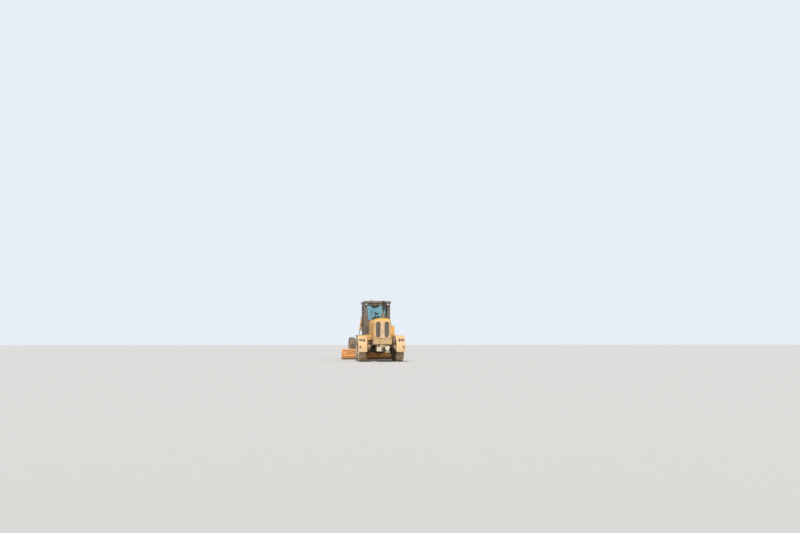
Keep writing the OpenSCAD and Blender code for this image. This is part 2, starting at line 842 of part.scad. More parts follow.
module lift_rod() {
    lift_frame() color(steel) {
        translate([0, 0, -rod_reach + 20]) cylinder(r = rod_r, h = rod_reach - 20 + 100);
        translate([0, 0, -rod_reach]) cylinder(r = 50, h = 90);
    }
}

module lift_barrel_right() {
    lift_barrel();
}

module lift_barrel_left() {
    left() lift_barrel();
}

module lift_rod_right() {
    lift_rod();
}

module lift_rod_left() {
    left() lift_rod();
}

module front_axle() {
    color(clean) {
        span([-lean_x + 90, lean_x - 90], [front_y - 110, front_y + 110], [axle_z - 60, axle_z + 100]);
        difference() {
            span([-beam_w / 2, beam_w / 2], [front_y - 160, front_y + 160], [axle_z + 90, nose_z[0]]);
            span([-track, track], [front_y - 38, front_y + 38], [bar_z - 42, bar_z + 34]);
        }
        both() difference() {
            union() {
                span([lean_x - 100, lean_x], [front_y - 110, front_y + 110], [axle_z - 60, axle_z + 60]);
                along_y(60, lean_x, [front_y - 110, front_y + 110], axle_z);
            }
            span([lean_x - 75, lean_x + 99], [front_y - 72, front_y + 72], [axle_z - 99, axle_z + 99]);
        }
        both() along_y(lean_r, lean_x, [front_y - 110, front_y + 110], axle_z);
    }
}

// Bar across the axle that keeps both brackets at one lean
module lean_bar() {
    color(steel) difference() {
        union() {
            along_x(20, [-lean_x, lean_x], front_y, bar_z);
            both() along_y(30, lean_x, [front_y - 21, front_y + 21], bar_z);
        }
        both() along_y(bar_pin_r + fit, lean_x, [front_y - 22, front_y + 22], bar_z);
    }
}

// Bracket that leans about the axle's end and carries the kingpin
module lean_bracket() {
    color(clean) difference() {
        union() {
            along_y(60, lean_x, [front_y - 70, front_y + 70], axle_z);
            span([lean_x, king_x], [front_y - 60, front_y + 60], [axle_z - 60, axle_z + 60]);
            along_z(50, king_x, front_y, [axle_z - king_half, axle_z + king_half]);
            for (y = [front_y - 44, front_y + 22]) {
                span([lean_x - 28, lean_x + 28], [y, y + 22], [axle_z + 40, bar_z]);
                along_y(28, lean_x, [y, y + 22], bar_z);
            }
            along_y(bar_pin_r, lean_x, [front_y - 48, front_y + 48], bar_z);
        }
        along_y(lean_r + fit, lean_x, [front_y - 111, front_y + 111], axle_z);
        along_z(king_r + fit, king_x, front_y, [axle_z - king_half - 1, axle_z + king_half + 1]);
    }
}

module lean_bracket_right() {
    lean_bracket();
}

module lean_bracket_left() {
    left() lean_bracket();
}

// Knuckle: kingpin, two cheeks, an upright and the wheel spindle
module knuckle() {
    cheek = king_half + 2;
    color(clean) {
        along_z(king_r, king_x, front_y, [axle_z - cheek - 40, axle_z + cheek + 40]);
        for (z = [axle_z - cheek - 36, axle_z + cheek]) {
            along_z(50, king_x, front_y, [z, z + 36]);
            span([king_x, king_x + 85], [front_y - 50, front_y + 50], [z, z + 36]);
        }
        span([king_x + 55, king_x + 90], [front_y - 70, front_y + 70],
            [axle_z - cheek - 36, axle_z + cheek + 36]);
        along_x(spindle_r, [king_x + 89, stub_end], front_y, axle_z);
        span([king_x + 20, king_x + 70], [front_y - 210, front_y - 45],
            [axle_z - cheek - 36, axle_z - cheek - 6]);
    }
}

module knuckle_right() {
    knuckle();
}

module knuckle_left() {
    left() knuckle();
}

module drawbar_swivel() {
    color(steel) {
        span([-55, 55], [ball_y - 40, ball_y + 40], [ball_z - 40, ball_z + 40]);
        along_z(25, 0, ball_y, [ball_z - 82, ball_z + 82]);
        along_x(25, [-110, 110], ball_y, ball_z);
    }
}

// Drawbar: a fork, two diverging beams, a plate over the circle with its shoes, and the lift arms
module drawbar() {
    cheek = [60, 100];
    h = draw_z[1] - draw_z[0];
    color(clean) difference() {
        union() {
            both() {
                along_x(45, cheek, ball_y, ball_z);
                span(cheek, [ball_y - 160, ball_y], [ball_z - 45, ball_z + 45]);
                translate([0, 0, draw_z[0]]) linear_extrude(h) polygon([
                    [0, ball_y - 150], [cheek[1], ball_y - 150], [480, circle_y + 300], [330, circle_y + 300],
                    [60, ball_y - 500], [0, ball_y - 500]]);
                span([0, stud_x + 50], [saddle_y - 60, saddle_y + 60], draw_z);
                along_z(40, stud_x, saddle_y, [draw_z[1] - 1, stud_top]);
            }
            along_z(shoe_in + 35, 0, circle_y, draw_z);
            for (a = [45:90:315]) translate([0, circle_y, 0]) rotate([0, 0, a]) {
                span([shoe_in - 40, shoe_in + 30], [-60, 60], [ring_z[0] - 35, draw_z[0] + 1]);
                span([shoe_in - 40, ring_in + 25], [-60, 60], [ring_z[0] - 35, ring_z[0] - 0.3]);
            }
        }
        both() along_x(25 + fit, [cheek[0] - 1, cheek[1] + 1], ball_y, ball_z);
        along_z(380, 0, circle_y, [draw_z[0] - 1, draw_z[1] + 1]);
    }
    color(clean) {
        span([-400, 400], [circle_y - 60, circle_y + 60], draw_z);
        along_z(80, 0, drive_y, [draw_z[0] - 60, draw_z[0] + 1]);
        along_z(130, 0, drive_y - 20, [draw_z[1] - 1, draw_z[1] + 120]);
        along_z(70, 0, drive_y - 20, [draw_z[1] + 119, draw_z[1] + 230]);
    }
}

// Circle: a toothed ring with two arms that reach down to the blade
module circle_ring() {
    translate([0, circle_y, ring_z[0]]) linear_extrude(ring_z[1] - ring_z[0]) difference() {
        circle(r = ring_out, $fn = 96);
        circle(r = ring_in, $fn = 96);
    }
}

module blade_circle() {
    color(clean) difference() {
        union() {
            circle_ring();
            for (k = [0:tooth_n - 1]) translate([0, circle_y, 0]) rotate([0, 0, k * 360 / tooth_n])
                span([ring_in - tooth_h, ring_in + 5], [-13, 13], [ring_z[0] + 15, ring_z[1] - 5]);
            both() {
                side_view(arm_x, [
                    [circle_y - 520, ring_z[0] + 5], [circle_y - 385, ring_z[0] + 5],
                    [tip_y + 68, tip_z + 20], [tip_y - 68, tip_z - 20]]);
                along_x(70, arm_x, tip_y, tip_z);
            }
        }
        both() along_x(30 + fit, [arm_x[0] - 1, arm_x[1] + 1], tip_y, tip_z);
    }
}

// Carrier that tips the blade and guides its two rails
module blade_carrier() {
    back = curve_y - curve_r - 85;
    color(clean) difference() {
        both() {
            side_view(carrier_x, [
                [back, rail_zs[0] - 50], [back + 70, rail_zs[0] - 50], [back + 70, rail_zs[1] + 50],
                [back, rail_zs[1] + 50], [tip_y - 60, tip_z + 40], [tip_y - 60, tip_z - 40]]);
            along_x(60, carrier_x, tip_y, tip_z);
            along_x(30, [carrier_x[0], arm_x[1] + 20], tip_y, tip_z);
        }
        for (z = rail_zs) span([-track, track], [back + 35 - guide_gap, back + 71],
            [z - 20 - guide_gap, z + 20 + guide_gap]);
        along_x(shift_rod_r + fit, [-carrier_x[1] - 201, carrier_x[1] - 30], shift_y, shift_z);
    }
    color(clean) along_x(45, [-carrier_x[0], carrier_x[0]], tip_y - 5, tip_z);
    color(clean) difference() {
        along_x(shift_r, [-carrier_x[1] - 200, carrier_x[1]], shift_y, shift_z);
        along_x(shift_rod_r + fit, [-carrier_x[1] - 201, carrier_x[1] - 30], shift_y, shift_z);
    }
}

// Mouldboard: a curved plate, hollow to the front, with two rails along its back
module mouldboard() {
    back = curve_y - curve_r - 50;
    color(clean) {
        translate([-blade_l / 2, curve_y, curve_z]) rotate([90, 0, 90])
            linear_extrude(blade_l) intersection() {
            difference() {
                circle(r = curve_r, $fn = 96);
                circle(r = curve_r - blade_t, $fn = 96);
            }
            translate([-curve_r - 1, edge_top - curve_z]) square([curve_r, blade_top - edge_top]);
        }
        for (z = rail_zs) span([-rail_half, rail_half], [back, back + 97], [z - 20, z + 20]);
        span([-1480, -1440], [shift_y - 40, back + 62], [shift_z - 45, shift_z + 45]);
    }
    color(steel) along_x(shift_rod_r, [-1441, -200], shift_y, shift_z);
}

module cutting_edge() {
    y_out = curve_y - sqrt(pow(curve_r, 2) - pow(curve_z - edge_top, 2));
    y_in = curve_y - sqrt(pow(curve_r - blade_t, 2) - pow(curve_z - edge_top, 2));
    color(steel) side_view([-blade_l / 2, blade_l / 2], [
        [y_out, edge_top], [y_in, edge_top], [y_in + 50, edge_z], [y_in + 35, edge_z]]);
}

rear_frame();
rear_axle();
tandem_cases();
hood();
engine();
radiator();
grille_door();
hood_door_left();
hood_door_right();
exhaust();
mudguards();
side_boxes();
platforms();
oil_tank();
lamps();
cab_shell();
cab_roof();
cab_glass();
door_left();
door_right();
door_glass_left();
door_glass_right();
seat();
console();
tyre_rear_left();
tyre_rear_right();
tyre_mid_left();
tyre_mid_right();
rim_rear_left();
rim_rear_right();
rim_mid_left();
rim_mid_right();
front_frame();
saddle();
push_plate();
headlamps();
front_axle();
lean_bar();
lean_bracket_left();
lean_bracket_right();
knuckle_left();
knuckle_right();
tyre_front_left();
tyre_front_right();
rim_front_left();
rim_front_right();
lift_barrel_left();
lift_barrel_right();
lift_rod_left();
lift_rod_right();
drawbar_swivel();
drawbar();
blade_circle();
blade_carrier();
mouldboard();
cutting_edge();
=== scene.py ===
"""Looks of a dusty motor grader: finishes, rounded edges, tyres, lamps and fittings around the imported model.

Everything is in metres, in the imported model's frame: +Y is forward, +X is right, +Z is up, the ground is at
Z 0. An outline is a list of pairs: Y and Z where it is made thick along X, X and Z along Y, X and Y along Z.
"""

from __future__ import annotations

import json
import logging
import math
from dataclasses import dataclass
from enum import Enum
from typing import Iterable, Sequence

import bmesh
import bpy
from mathutils import Matrix, Vector

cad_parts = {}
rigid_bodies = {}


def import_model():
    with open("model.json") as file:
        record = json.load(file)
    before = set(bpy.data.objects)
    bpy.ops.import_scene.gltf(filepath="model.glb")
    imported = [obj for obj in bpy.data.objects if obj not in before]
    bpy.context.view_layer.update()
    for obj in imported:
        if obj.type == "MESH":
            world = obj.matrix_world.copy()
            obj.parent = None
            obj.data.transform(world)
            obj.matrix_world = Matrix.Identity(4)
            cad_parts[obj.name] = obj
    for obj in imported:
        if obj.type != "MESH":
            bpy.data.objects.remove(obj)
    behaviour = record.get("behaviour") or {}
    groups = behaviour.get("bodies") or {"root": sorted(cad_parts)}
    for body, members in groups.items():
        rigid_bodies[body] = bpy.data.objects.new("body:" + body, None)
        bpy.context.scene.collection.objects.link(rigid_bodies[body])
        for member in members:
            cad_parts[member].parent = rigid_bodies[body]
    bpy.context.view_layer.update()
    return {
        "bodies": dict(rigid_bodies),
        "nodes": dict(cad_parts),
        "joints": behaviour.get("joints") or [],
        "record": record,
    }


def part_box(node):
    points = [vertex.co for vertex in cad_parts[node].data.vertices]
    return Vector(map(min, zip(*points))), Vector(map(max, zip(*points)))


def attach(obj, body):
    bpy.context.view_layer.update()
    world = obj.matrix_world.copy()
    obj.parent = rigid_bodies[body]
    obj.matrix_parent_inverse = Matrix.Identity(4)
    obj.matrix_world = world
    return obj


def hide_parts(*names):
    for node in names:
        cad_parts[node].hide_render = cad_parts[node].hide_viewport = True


log = logging.getLogger("grader")

IMAGE_WIDTH = 800
IMAGE_HEIGHT = 533

Point = Sequence[float]
Pair = tuple[float, float]
Colour = tuple[float, float, float]
Socket = bpy.types.NodeSocket

SIDES = (("left", -1), ("right", 1))
POLE = 0.0001


def srgb(red: float, green: float, blue: float) -> Colour:
    """Turns a display colour, each channel 0 to 255, into the linear colour that shaders use.

    Args:
        red: Red channel.
        green: Green channel.
        blue: Blue channel.

    Returns:
        The linear colour.
    """
    def linear(channel: float) -> float:
        """Returns one channel, linear."""
        share = channel / 255
        return share / 12.92 if share <= 0.04045 else ((share + 0.055) / 1.055) ** 2.4

    return linear(red), linear(green), linear(blue)


class Slot(Enum):
    """The record's material slots that the scene's own pieces stand for."""

    DUSTY = "paint_dusty"
    ORANGE = "paint_orange"
    CHARCOAL = "paint_charcoal"
    BLACK = "paint_black"
    TYRE = "tyre"
    STEEL = "steel"
    FABRIC = "fabric"
    LENS = "lens"
    PLASTIC = "plastic"


class Axis(Enum):
    """The direction that a round or thick shape runs in."""

    X = 0
    Y = 1
    Z = 2

    def turn(self) -> Matrix:
        """Returns the turn that brings the Z axis to this one."""
        return (Matrix.Rotation(math.pi / 2, 4, "Y"), Matrix.Rotation(-math.pi / 2, 4, "X"),
                Matrix.Identity(4))[self.value]

    def point(self, along: float, pair: Pair) -> list[float]:
        """Returns the point at a place along this axis and at a pair across it."""
        return [*pair[:self.value], along, *pair[self.value:]]

    def unit(self, length: float = 1.0) -> Vector:
        """Returns a vector of a length along this axis."""
        return Vector(self.point(length, (0.0, 0.0)))


class Graph:
    """Adds and joins the nodes of one tree."""

    def __init__(self, tree: bpy.types.NodeTree) -> None:
        """Takes the tree to write to."""
        self.tree = tree

    def add(self, kind: str, **settings: object) -> bpy.types.Node:
        """Adds a node.

        Args:
            kind: The node's type name.
            **settings: Attributes to set on the node.

        Returns:
            The node.
        """
        node = self.tree.nodes.new(kind)
        for name, value in settings.items():
            setattr(node, name, value)
        return node

    def feed(self, socket: Socket, value: object) -> None:
        """Links a socket to an input, or sets the input's own value.

        Args:
            socket: The input.
            value: A socket, a number or a colour.
        """
        if isinstance(value, bpy.types.NodeSocket):
            self.tree.links.new(value, socket)
        elif isinstance(value, tuple) and socket.type == "RGBA":
            socket.default_value = (*value, 1.0)
        else:
            socket.default_value = value

    def made(self, kind: str, inputs: dict[int | str, object], **settings: object) -> Socket:
        """Adds a node and feeds its inputs.

        Args:
            kind: The node's type name.
            inputs: The value or socket for each input, by its number or name.
            **settings: Attributes to set on the node.

        Returns:
            The output.
        """
        node = self.add(kind, **settings)
        for key, value in inputs.items():
            self.feed(node.inputs[key], value)
        return node.outputs[0]

    def times(self, first: object, second: object, clamp: bool = False) -> Socket:
        """Returns the product of two values."""
        return self.made("ShaderNodeMath", {0: first, 1: second}, operation="MULTIPLY", use_clamp=clamp)

    def plus(self, first: object, second: object) -> Socket:
        """Returns the sum of two values."""
        return self.made("ShaderNodeMath", {0: first, 1: second}, operation="ADD")

    def minus(self, first: object, second: object) -> Socket:
        """Returns one value less another."""
        return self.made("ShaderNodeMath", {0: first, 1: second}, operation="SUBTRACT")

    def scaled(self, vector: Socket, scale: object) -> Socket:
        """Returns a vector times a number."""
        return self.made("ShaderNodeVectorMath", {0: vector, "Scale": scale}, operation="SCALE")

    def mix(self, factor: object, first: object, second: object) -> Socket:
        """Mixes two colours.

        Args:
            factor: 0 for the first, 1 for the second.
            first: The first.
            second: The second.

        Returns:
            The colour.
        """
        node = self.add("ShaderNodeMix", data_type="RGBA")
        for place, value in zip((0, 6, 7), (factor, first, second)):
            self.feed(node.inputs[place], value)
        return node.outputs[2]

    def noise(self, vector: Socket, scale: object, detail: float = 5.0, roughness: float = 0.6) -> Socket:
        """Returns the value of a noise texture."""
        return self.made("ShaderNodeTexNoise",
                         {"Vector": vector, "Scale": scale, "Detail": detail, "Roughness": roughness})

    def band(self, value: object, low: object, high: object, start: float = 0.0, end: float = 1.0) -> Socket:
        """Returns a value mapped smoothly from low..high to start..end."""
        inputs = dict(enumerate((value, low, high, start, end)))
        return self.made("ShaderNodeMapRange", inputs, interpolation_type="SMOOTHSTEP")

    def upward(self, vector: Socket) -> Socket:
        """Takes a vector's Z.

        Args:
            vector: The vector.

        Returns:
            Its Z.
        """
        node = self.add("ShaderNodeSeparateXYZ")
        self.feed(node.inputs[0], vector)
        return node.outputs[2]

    def spot(self) -> Socket:
        """Returns the place on the object."""
        return self.add("ShaderNodeTexCoord").outputs["Object"]

    def wave(self, direction: str, scale: float, distortion: float = 0.0) -> Socket:
        """Adds waves across the object, as threads or moulded ribs make them.

        Args:
            direction: The axis they follow each other along.
            scale: How close they are.
            distortion: How uneven they are.

        Returns:
            The value.
        """
        node = self.add("ShaderNodeTexWave", wave_type="BANDS", bands_direction=direction)
        for name, value in (("Vector", self.spot()), ("Scale", scale), ("Distortion", distortion)):
            self.feed(node.inputs[name], value)
        return node.outputs["Fac"]

    def group(self, tree: bpy.types.NodeTree, **values: object) -> bpy.types.Node:
        """Places a shared node group.

        Args:
            tree: The group's tree.
            **values: The value or socket for each of its inputs.

        Returns:
            The group's node.
        """
        node = self.add("ShaderNodeGroup", node_tree=tree)
        for name, value in values.items():
            self.feed(node.inputs[name], value)
        return node


class SharedGroup(Graph):
    """A shader node group with named inputs and outputs, in the making.

    Attributes:
        given: Its inputs.
        place: The place on the object.
    """

    def __init__(self, name: str, outputs: Sequence[str], **inputs: object) -> None:
        """Starts the group.

        Args:
            name: The group's name.
            outputs: Its outputs' names; the one called Color is a colour.
            **inputs: Each input's name and default; a tuple makes a colour.
        """
        super().__init__(bpy.data.node_groups.new(name, "ShaderNodeTree"))
        face = self.tree.interface
        for label, default in inputs.items():
            colour = isinstance(default, tuple)
            kind = "NodeSocketColor" if colour else "NodeSocketFloat"
            socket = face.new_socket(label, in_out="INPUT", socket_type=kind)
            socket.default_value = (*default, 1.0) if colour else default
        for label in outputs:
            kind = "NodeSocketColor" if label == "Color" else "NodeSocketFloat"
            face.new_socket(label, in_out="OUTPUT", socket_type=kind)
        self.given = self.add("NodeGroupInput").outputs
        self.place = self.spot()
        self.leave = self.add("NodeGroupOutput").inputs

    def laid(self, mask: Socket, over: str) -> bpy.types.NodeTree:
        """Lays a colour over the given one and ends the group.

        Args:
            mask: Where it is laid.
            over: The name of the input that holds it.

        Returns:
            The group's tree.
        """
        self.feed(self.leave["Color"], self.mix(mask, self.given["Color"], self.given[over]))
        self.feed(self.leave["Mask"], mask)
        return self.tree


class Effects:
    """The shader node groups that several finishes share."""

    veil = ("Color", "Mask")
    grey = (0.5, 0.5, 0.5)
    rust = (0.15, 0.09, 0.06)

    def __init__(self) -> None:
        """Builds each group once."""
        self.dust = self.build_dust()
        self.streaks = self.build_streaks()
        self.chips = self.build_chips()
        self.rubbed = self.build_rubbed()
        self.grime_and_shade = self.build_grime_and_shade()
        self.grain = self.build_grain()

    def build_dust(self) -> bpy.types.NodeTree:
        """Builds the veil of road dust: thick on ledges and low down, thin and cloudy elsewhere.

        Returns:
            The group's tree.
        """
        group = SharedGroup("dust veil", self.veil, Color=self.grey, Dust=self.grey, Amount=0.5, Reach=2.0,
                            Clear=9.0)
        height, clear = group.upward(group.place), group.given["Clear"]
        ledge = group.band(group.upward(group.add("ShaderNodeTexCoord").outputs["Normal"]), 0.25, 0.95)
        low = group.band(height, group.given["Reach"], 0.0)
        cloud = group.noise(group.place, 2.3, 6.0, 0.65)
        fine = group.noise(group.place, 23.0, 4.0, 0.7)
        drift = group.band(group.plus(group.times(cloud, 0.7), group.times(fine, 0.3)), 0.36, 0.64)
        lift = group.plus(group.times(ledge, 0.45), group.times(low, 0.35))
        whole = group.plus(group.plus(lift, 0.18), group.times(drift, 0.7))
        windswept = group.band(height, group.minus(clear, 0.3), clear, 1.0, 0.2)
        return group.laid(group.times(group.times(group.given["Amount"], windswept), whole, True), "Dust")

    def build_streaks(self) -> bpy.types.NodeTree:
        """Builds stains that run down upright faces.

        Returns:
            The group's tree.
        """
        group = SharedGroup("run down streaks", self.veil, Color=self.grey, Stain=self.rust, Amount=0.3)
        tall = group.made("ShaderNodeMapping", {"Vector": group.place, "Scale": Vector((1.0, 1.0, 0.09))})
        lines = group.band(group.noise(tall, 14.0), 0.52, 0.72)
        patch = group.band(group.noise(group.place, 1.7, 3.0, 0.5), 0.42, 0.62)
        return group.laid(group.times(group.times(lines, patch), group.given["Amount"], True), "Stain")

    def build_chips(self) -> bpy.types.NodeTree:
        """Builds small chips of lost paint, gathered in patches.

        Returns:
            The group's tree.
        """
        group = SharedGroup("paint chips", self.veil, Color=self.grey, Under=self.rust, Amount=0.2)
        flecks = group.noise(group.place, 34.0, 6.0, 0.72)
        patch = group.noise(group.place, 3.1, 3.0, 0.5)
        limit = group.minus(0.80, group.times(group.given["Amount"], 0.22))
        raised = group.plus(group.times(flecks, 0.72), group.times(patch, 0.36))
        return group.laid(group.band(raised, limit, group.plus(limit, 0.025)), "Under")

    def build_rubbed(self) -> bpy.types.NodeTree:
        """Builds the wear along rounded edges, which the mesh names in its attribute called worn.

        Returns:
            The group's tree.
        """
        group = SharedGroup("rubbed edges", self.veil, Color=self.grey, Under=self.rust, Amount=0.5)
        edge = group.add("ShaderNodeAttribute", attribute_name="worn").outputs["Fac"]
        spots = group.band(group.noise(group.place, 7.0, 5.0, 0.7), 0.44, 0.56)
        return group.laid(group.times(group.times(edge, spots), group.given["Amount"], True), "Under")

    def build_grime_and_shade(self) -> bpy.types.NodeTree:
        """Builds the near-black colour laid over the underside below a height: oily dirt, and painted shade
        under the machine.

        Returns:
            The group's tree.
        """
        group = SharedGroup("low grime", self.veil, Color=self.grey, Grime_and_shade=(0.03, 0.022, 0.016), Top=0.9)
        # Painted shade: a near-black colour over everything low down, for the shade under the machine as well
        # as oily dirt.
        top = group.given["Top"]
        level = group.plus(group.upward(group.place), group.times(group.noise(group.place, 4.0), 0.3))
        return group.laid(group.band(level, group.plus(top, 0.2), group.minus(top, 0.05), 0.0, 0.92), "Grime_and_shade")

    def build_grain(self) -> bpy.types.NodeTree:
        """Builds a fine uneven surface, as a height.

        Returns:
            The group's tree.
        """
        group = SharedGroup("surface grain", ("Height",), Scale=60.0)
        fine = group.noise(group.place, group.given["Scale"], 4.0)
        broad = group.noise(group.place, group.times(group.given["Scale"], 0.07), 3.0, 0.5)
        group.feed(group.leave["Height"], group.plus(group.times(fine, 0.5), group.times(broad, 0.9)))
        return group.tree


@dataclass(frozen=True)
class Finish:
    """One surface finish.

    Attributes:
        name: The material's name.
        slot: The record's slot that it stands for.
        colour: Its clean colour.
        roughness: Roughness where it is clean.
        metallic: 1 for bare metal.
        dust: How much road dust lies on it.
        reach: Height up to which it is dustier.
        clear: Height above which wind and rain keep it nearly clean.
        streak: How strongly stains run down it.
        chip: How much paint is chipped off.
        under: What shows where it is chipped.
        grain: Grain scale of its bump.
        bump: Bump distance in metres.
        grime_and_shade: Height below which a near-black colour covers it, for oily dirt and painted shade, or
            0 for none.
    """

    name: str
    slot: Slot
    colour: Colour
    roughness: float = 0.5
    metallic: float = 0.0
    dust: float = 0.5
    reach: float = 2.0
    clear: float = 9.0
    streak: float = 0.3
    chip: float = 0.2
    under: Colour = (0.09, 0.045, 0.025)
    grain: float = 60.0
    bump: float = 0.0008
    grime_and_shade: float = 0.0


ROAD_DUST: Colour = srgb(214, 186, 150)
DRY_STAIN: Colour = (0.13, 0.085, 0.05)
RED_RUST: Colour = (0.16, 0.07, 0.035)
COLOUR_SHIFT = 0.12

CLEAN_YELLOW = Finish("yellow_clean", Slot.DUSTY, srgb(240, 178, 48), 0.42, dust=0.28, streak=0.25, chip=0.15)
DUSTY_YELLOW = Finish("yellow_dusty", Slot.DUSTY, srgb(236, 178, 70), 0.6, dust=0.8, clear=2.3, streak=0.5,
                      chip=0.35)
FADED_YELLOW = Finish("yellow_faded", Slot.DUSTY, srgb(226, 184, 132), 0.65, dust=0.95, reach=2.6,
                      streak=0.55, chip=0.3)
LOW_YELLOW = Finish("yellow_caked", Slot.DUSTY, srgb(202, 156, 88), 0.7, dust=0.9, reach=2.2, streak=0.45,
                    chip=0.35)
GUARD_YELLOW = Finish("yellow_guards", Slot.DUSTY, srgb(226, 172, 84), 0.65, dust=0.9, reach=2.2, clear=1.5,
                      streak=0.5, chip=0.35)
# Low down, the rear frame and the chain cases turn near-black: oily dirt plus painted shade under the machine.
FRAME_YELLOW = Finish("yellow_underside", Slot.DUSTY, srgb(188, 146, 84), 0.7, dust=0.72, reach=2.2,
                      streak=0.5, chip=0.35, grime_and_shade=0.9)
CASE_YELLOW = Finish("yellow_chain_case", Slot.DUSTY, srgb(190, 146, 84), 0.7, dust=0.75, reach=2.2,
                     chip=0.35, grime_and_shade=0.85)
PLATE_WHITE = Finish("pale_plate", Slot.DUSTY, srgb(226, 218, 198), 0.5, dust=0.45, streak=0.2, chip=0.15)
ORANGE = Finish("blade_orange", Slot.ORANGE, srgb(238, 158, 56), dust=0.42, reach=1.2, chip=0.4)
FRONT_ORANGE = Finish("beam_orange", Slot.ORANGE, srgb(238, 166, 50), 0.45, dust=0.35, streak=0.25)
CHARCOAL = Finish("cab_charcoal", Slot.CHARCOAL, srgb(74, 69, 68), 0.5, dust=0.24, reach=1.9, streak=0.2,
                  chip=0.1, under=(0.2, 0.19, 0.18))
# The rear axle's near-black is partly oily steel and partly painted shade between the wheels.
GRIMY_SHADED_STEEL = Finish("oily_steel_painted_shade", Slot.CHARCOAL, srgb(44, 37, 32), dust=0.2, reach=0.5, streak=0.2)
DARK_STEEL = Finish("frame_black", Slot.CHARCOAL, srgb(58, 50, 44), 0.6, dust=0.55, reach=1.6, streak=0.2)
CORE = Finish("radiator_core", Slot.CHARCOAL, srgb(70, 60, 52), 0.7, dust=0.75, streak=0.1, chip=0.0)
BLACK = Finish("black_paint", Slot.BLACK, srgb(30, 27, 25), 0.45, dust=0.2, streak=0.1)
EXHAUST_BLACK = Finish("sooty_black", Slot.BLACK, srgb(22, 22, 21), 0.7, dust=0.7, reach=2.6, clear=2.8,
                       chip=0.5, under=RED_RUST)
STEEL = Finish("worn_steel", Slot.STEEL, srgb(150, 144, 136), 0.38, metallic=1.0, dust=0.35, chip=0.25,
               under=(0.12, 0.05, 0.025))
CHROME = Finish("chrome_rod", Slot.STEEL, srgb(205, 205, 205), 0.12, metallic=1.0, dust=0.12, streak=0.0,
                chip=0.0, bump=0.0001)
EDGE_STEEL = Finish("ground_steel", Slot.STEEL, srgb(112, 104, 96), 0.42, metallic=1.0, dust=0.45, reach=0.4,
                    chip=0.5, under=RED_RUST)
RUSTY_STEEL = Finish("rusty_steel", Slot.STEEL, srgb(104, 78, 60), 0.7, metallic=0.6, dust=0.3, streak=0.4,
                     chip=0.6, under=(0.14, 0.055, 0.025))
TREAD = Finish("tyre_dusty", Slot.TYRE, srgb(74, 68, 62), 0.92, dust=0.55, reach=1.5, streak=0.0, chip=0.0,
               grain=45.0, bump=0.002)
# The carcass, with its sidewalls and the floors between the lugs, is darker than the lugs: painted shade in
# the gaps between the lugs.
SIDEWALL_GROOVE_SHADE = Finish("tyre_sidewall_groove_shade", Slot.TYRE, srgb(58, 52, 48), 0.92, dust=0.55, reach=1.3, streak=0.0,
                  chip=0.0, grain=45.0, bump=0.002)
FRONT_TYRE = Finish("tyre_dark", Slot.TYRE, srgb(56, 54, 54), 0.9, dust=0.34, reach=1.1, streak=0.0, chip=0.0,
                    grain=45.0, bump=0.002)
RUBBER = Finish("black_rubber", Slot.PLASTIC, srgb(38, 36, 35), 0.7, dust=0.3, streak=0.0, chip=0.0)
PLASTIC = Finish("moulded_plastic", Slot.PLASTIC, srgb(52, 49, 47), 0.55, dust=0.3, streak=0.0, chip=0.0,
                 grain=140.0, bump=0.0006)


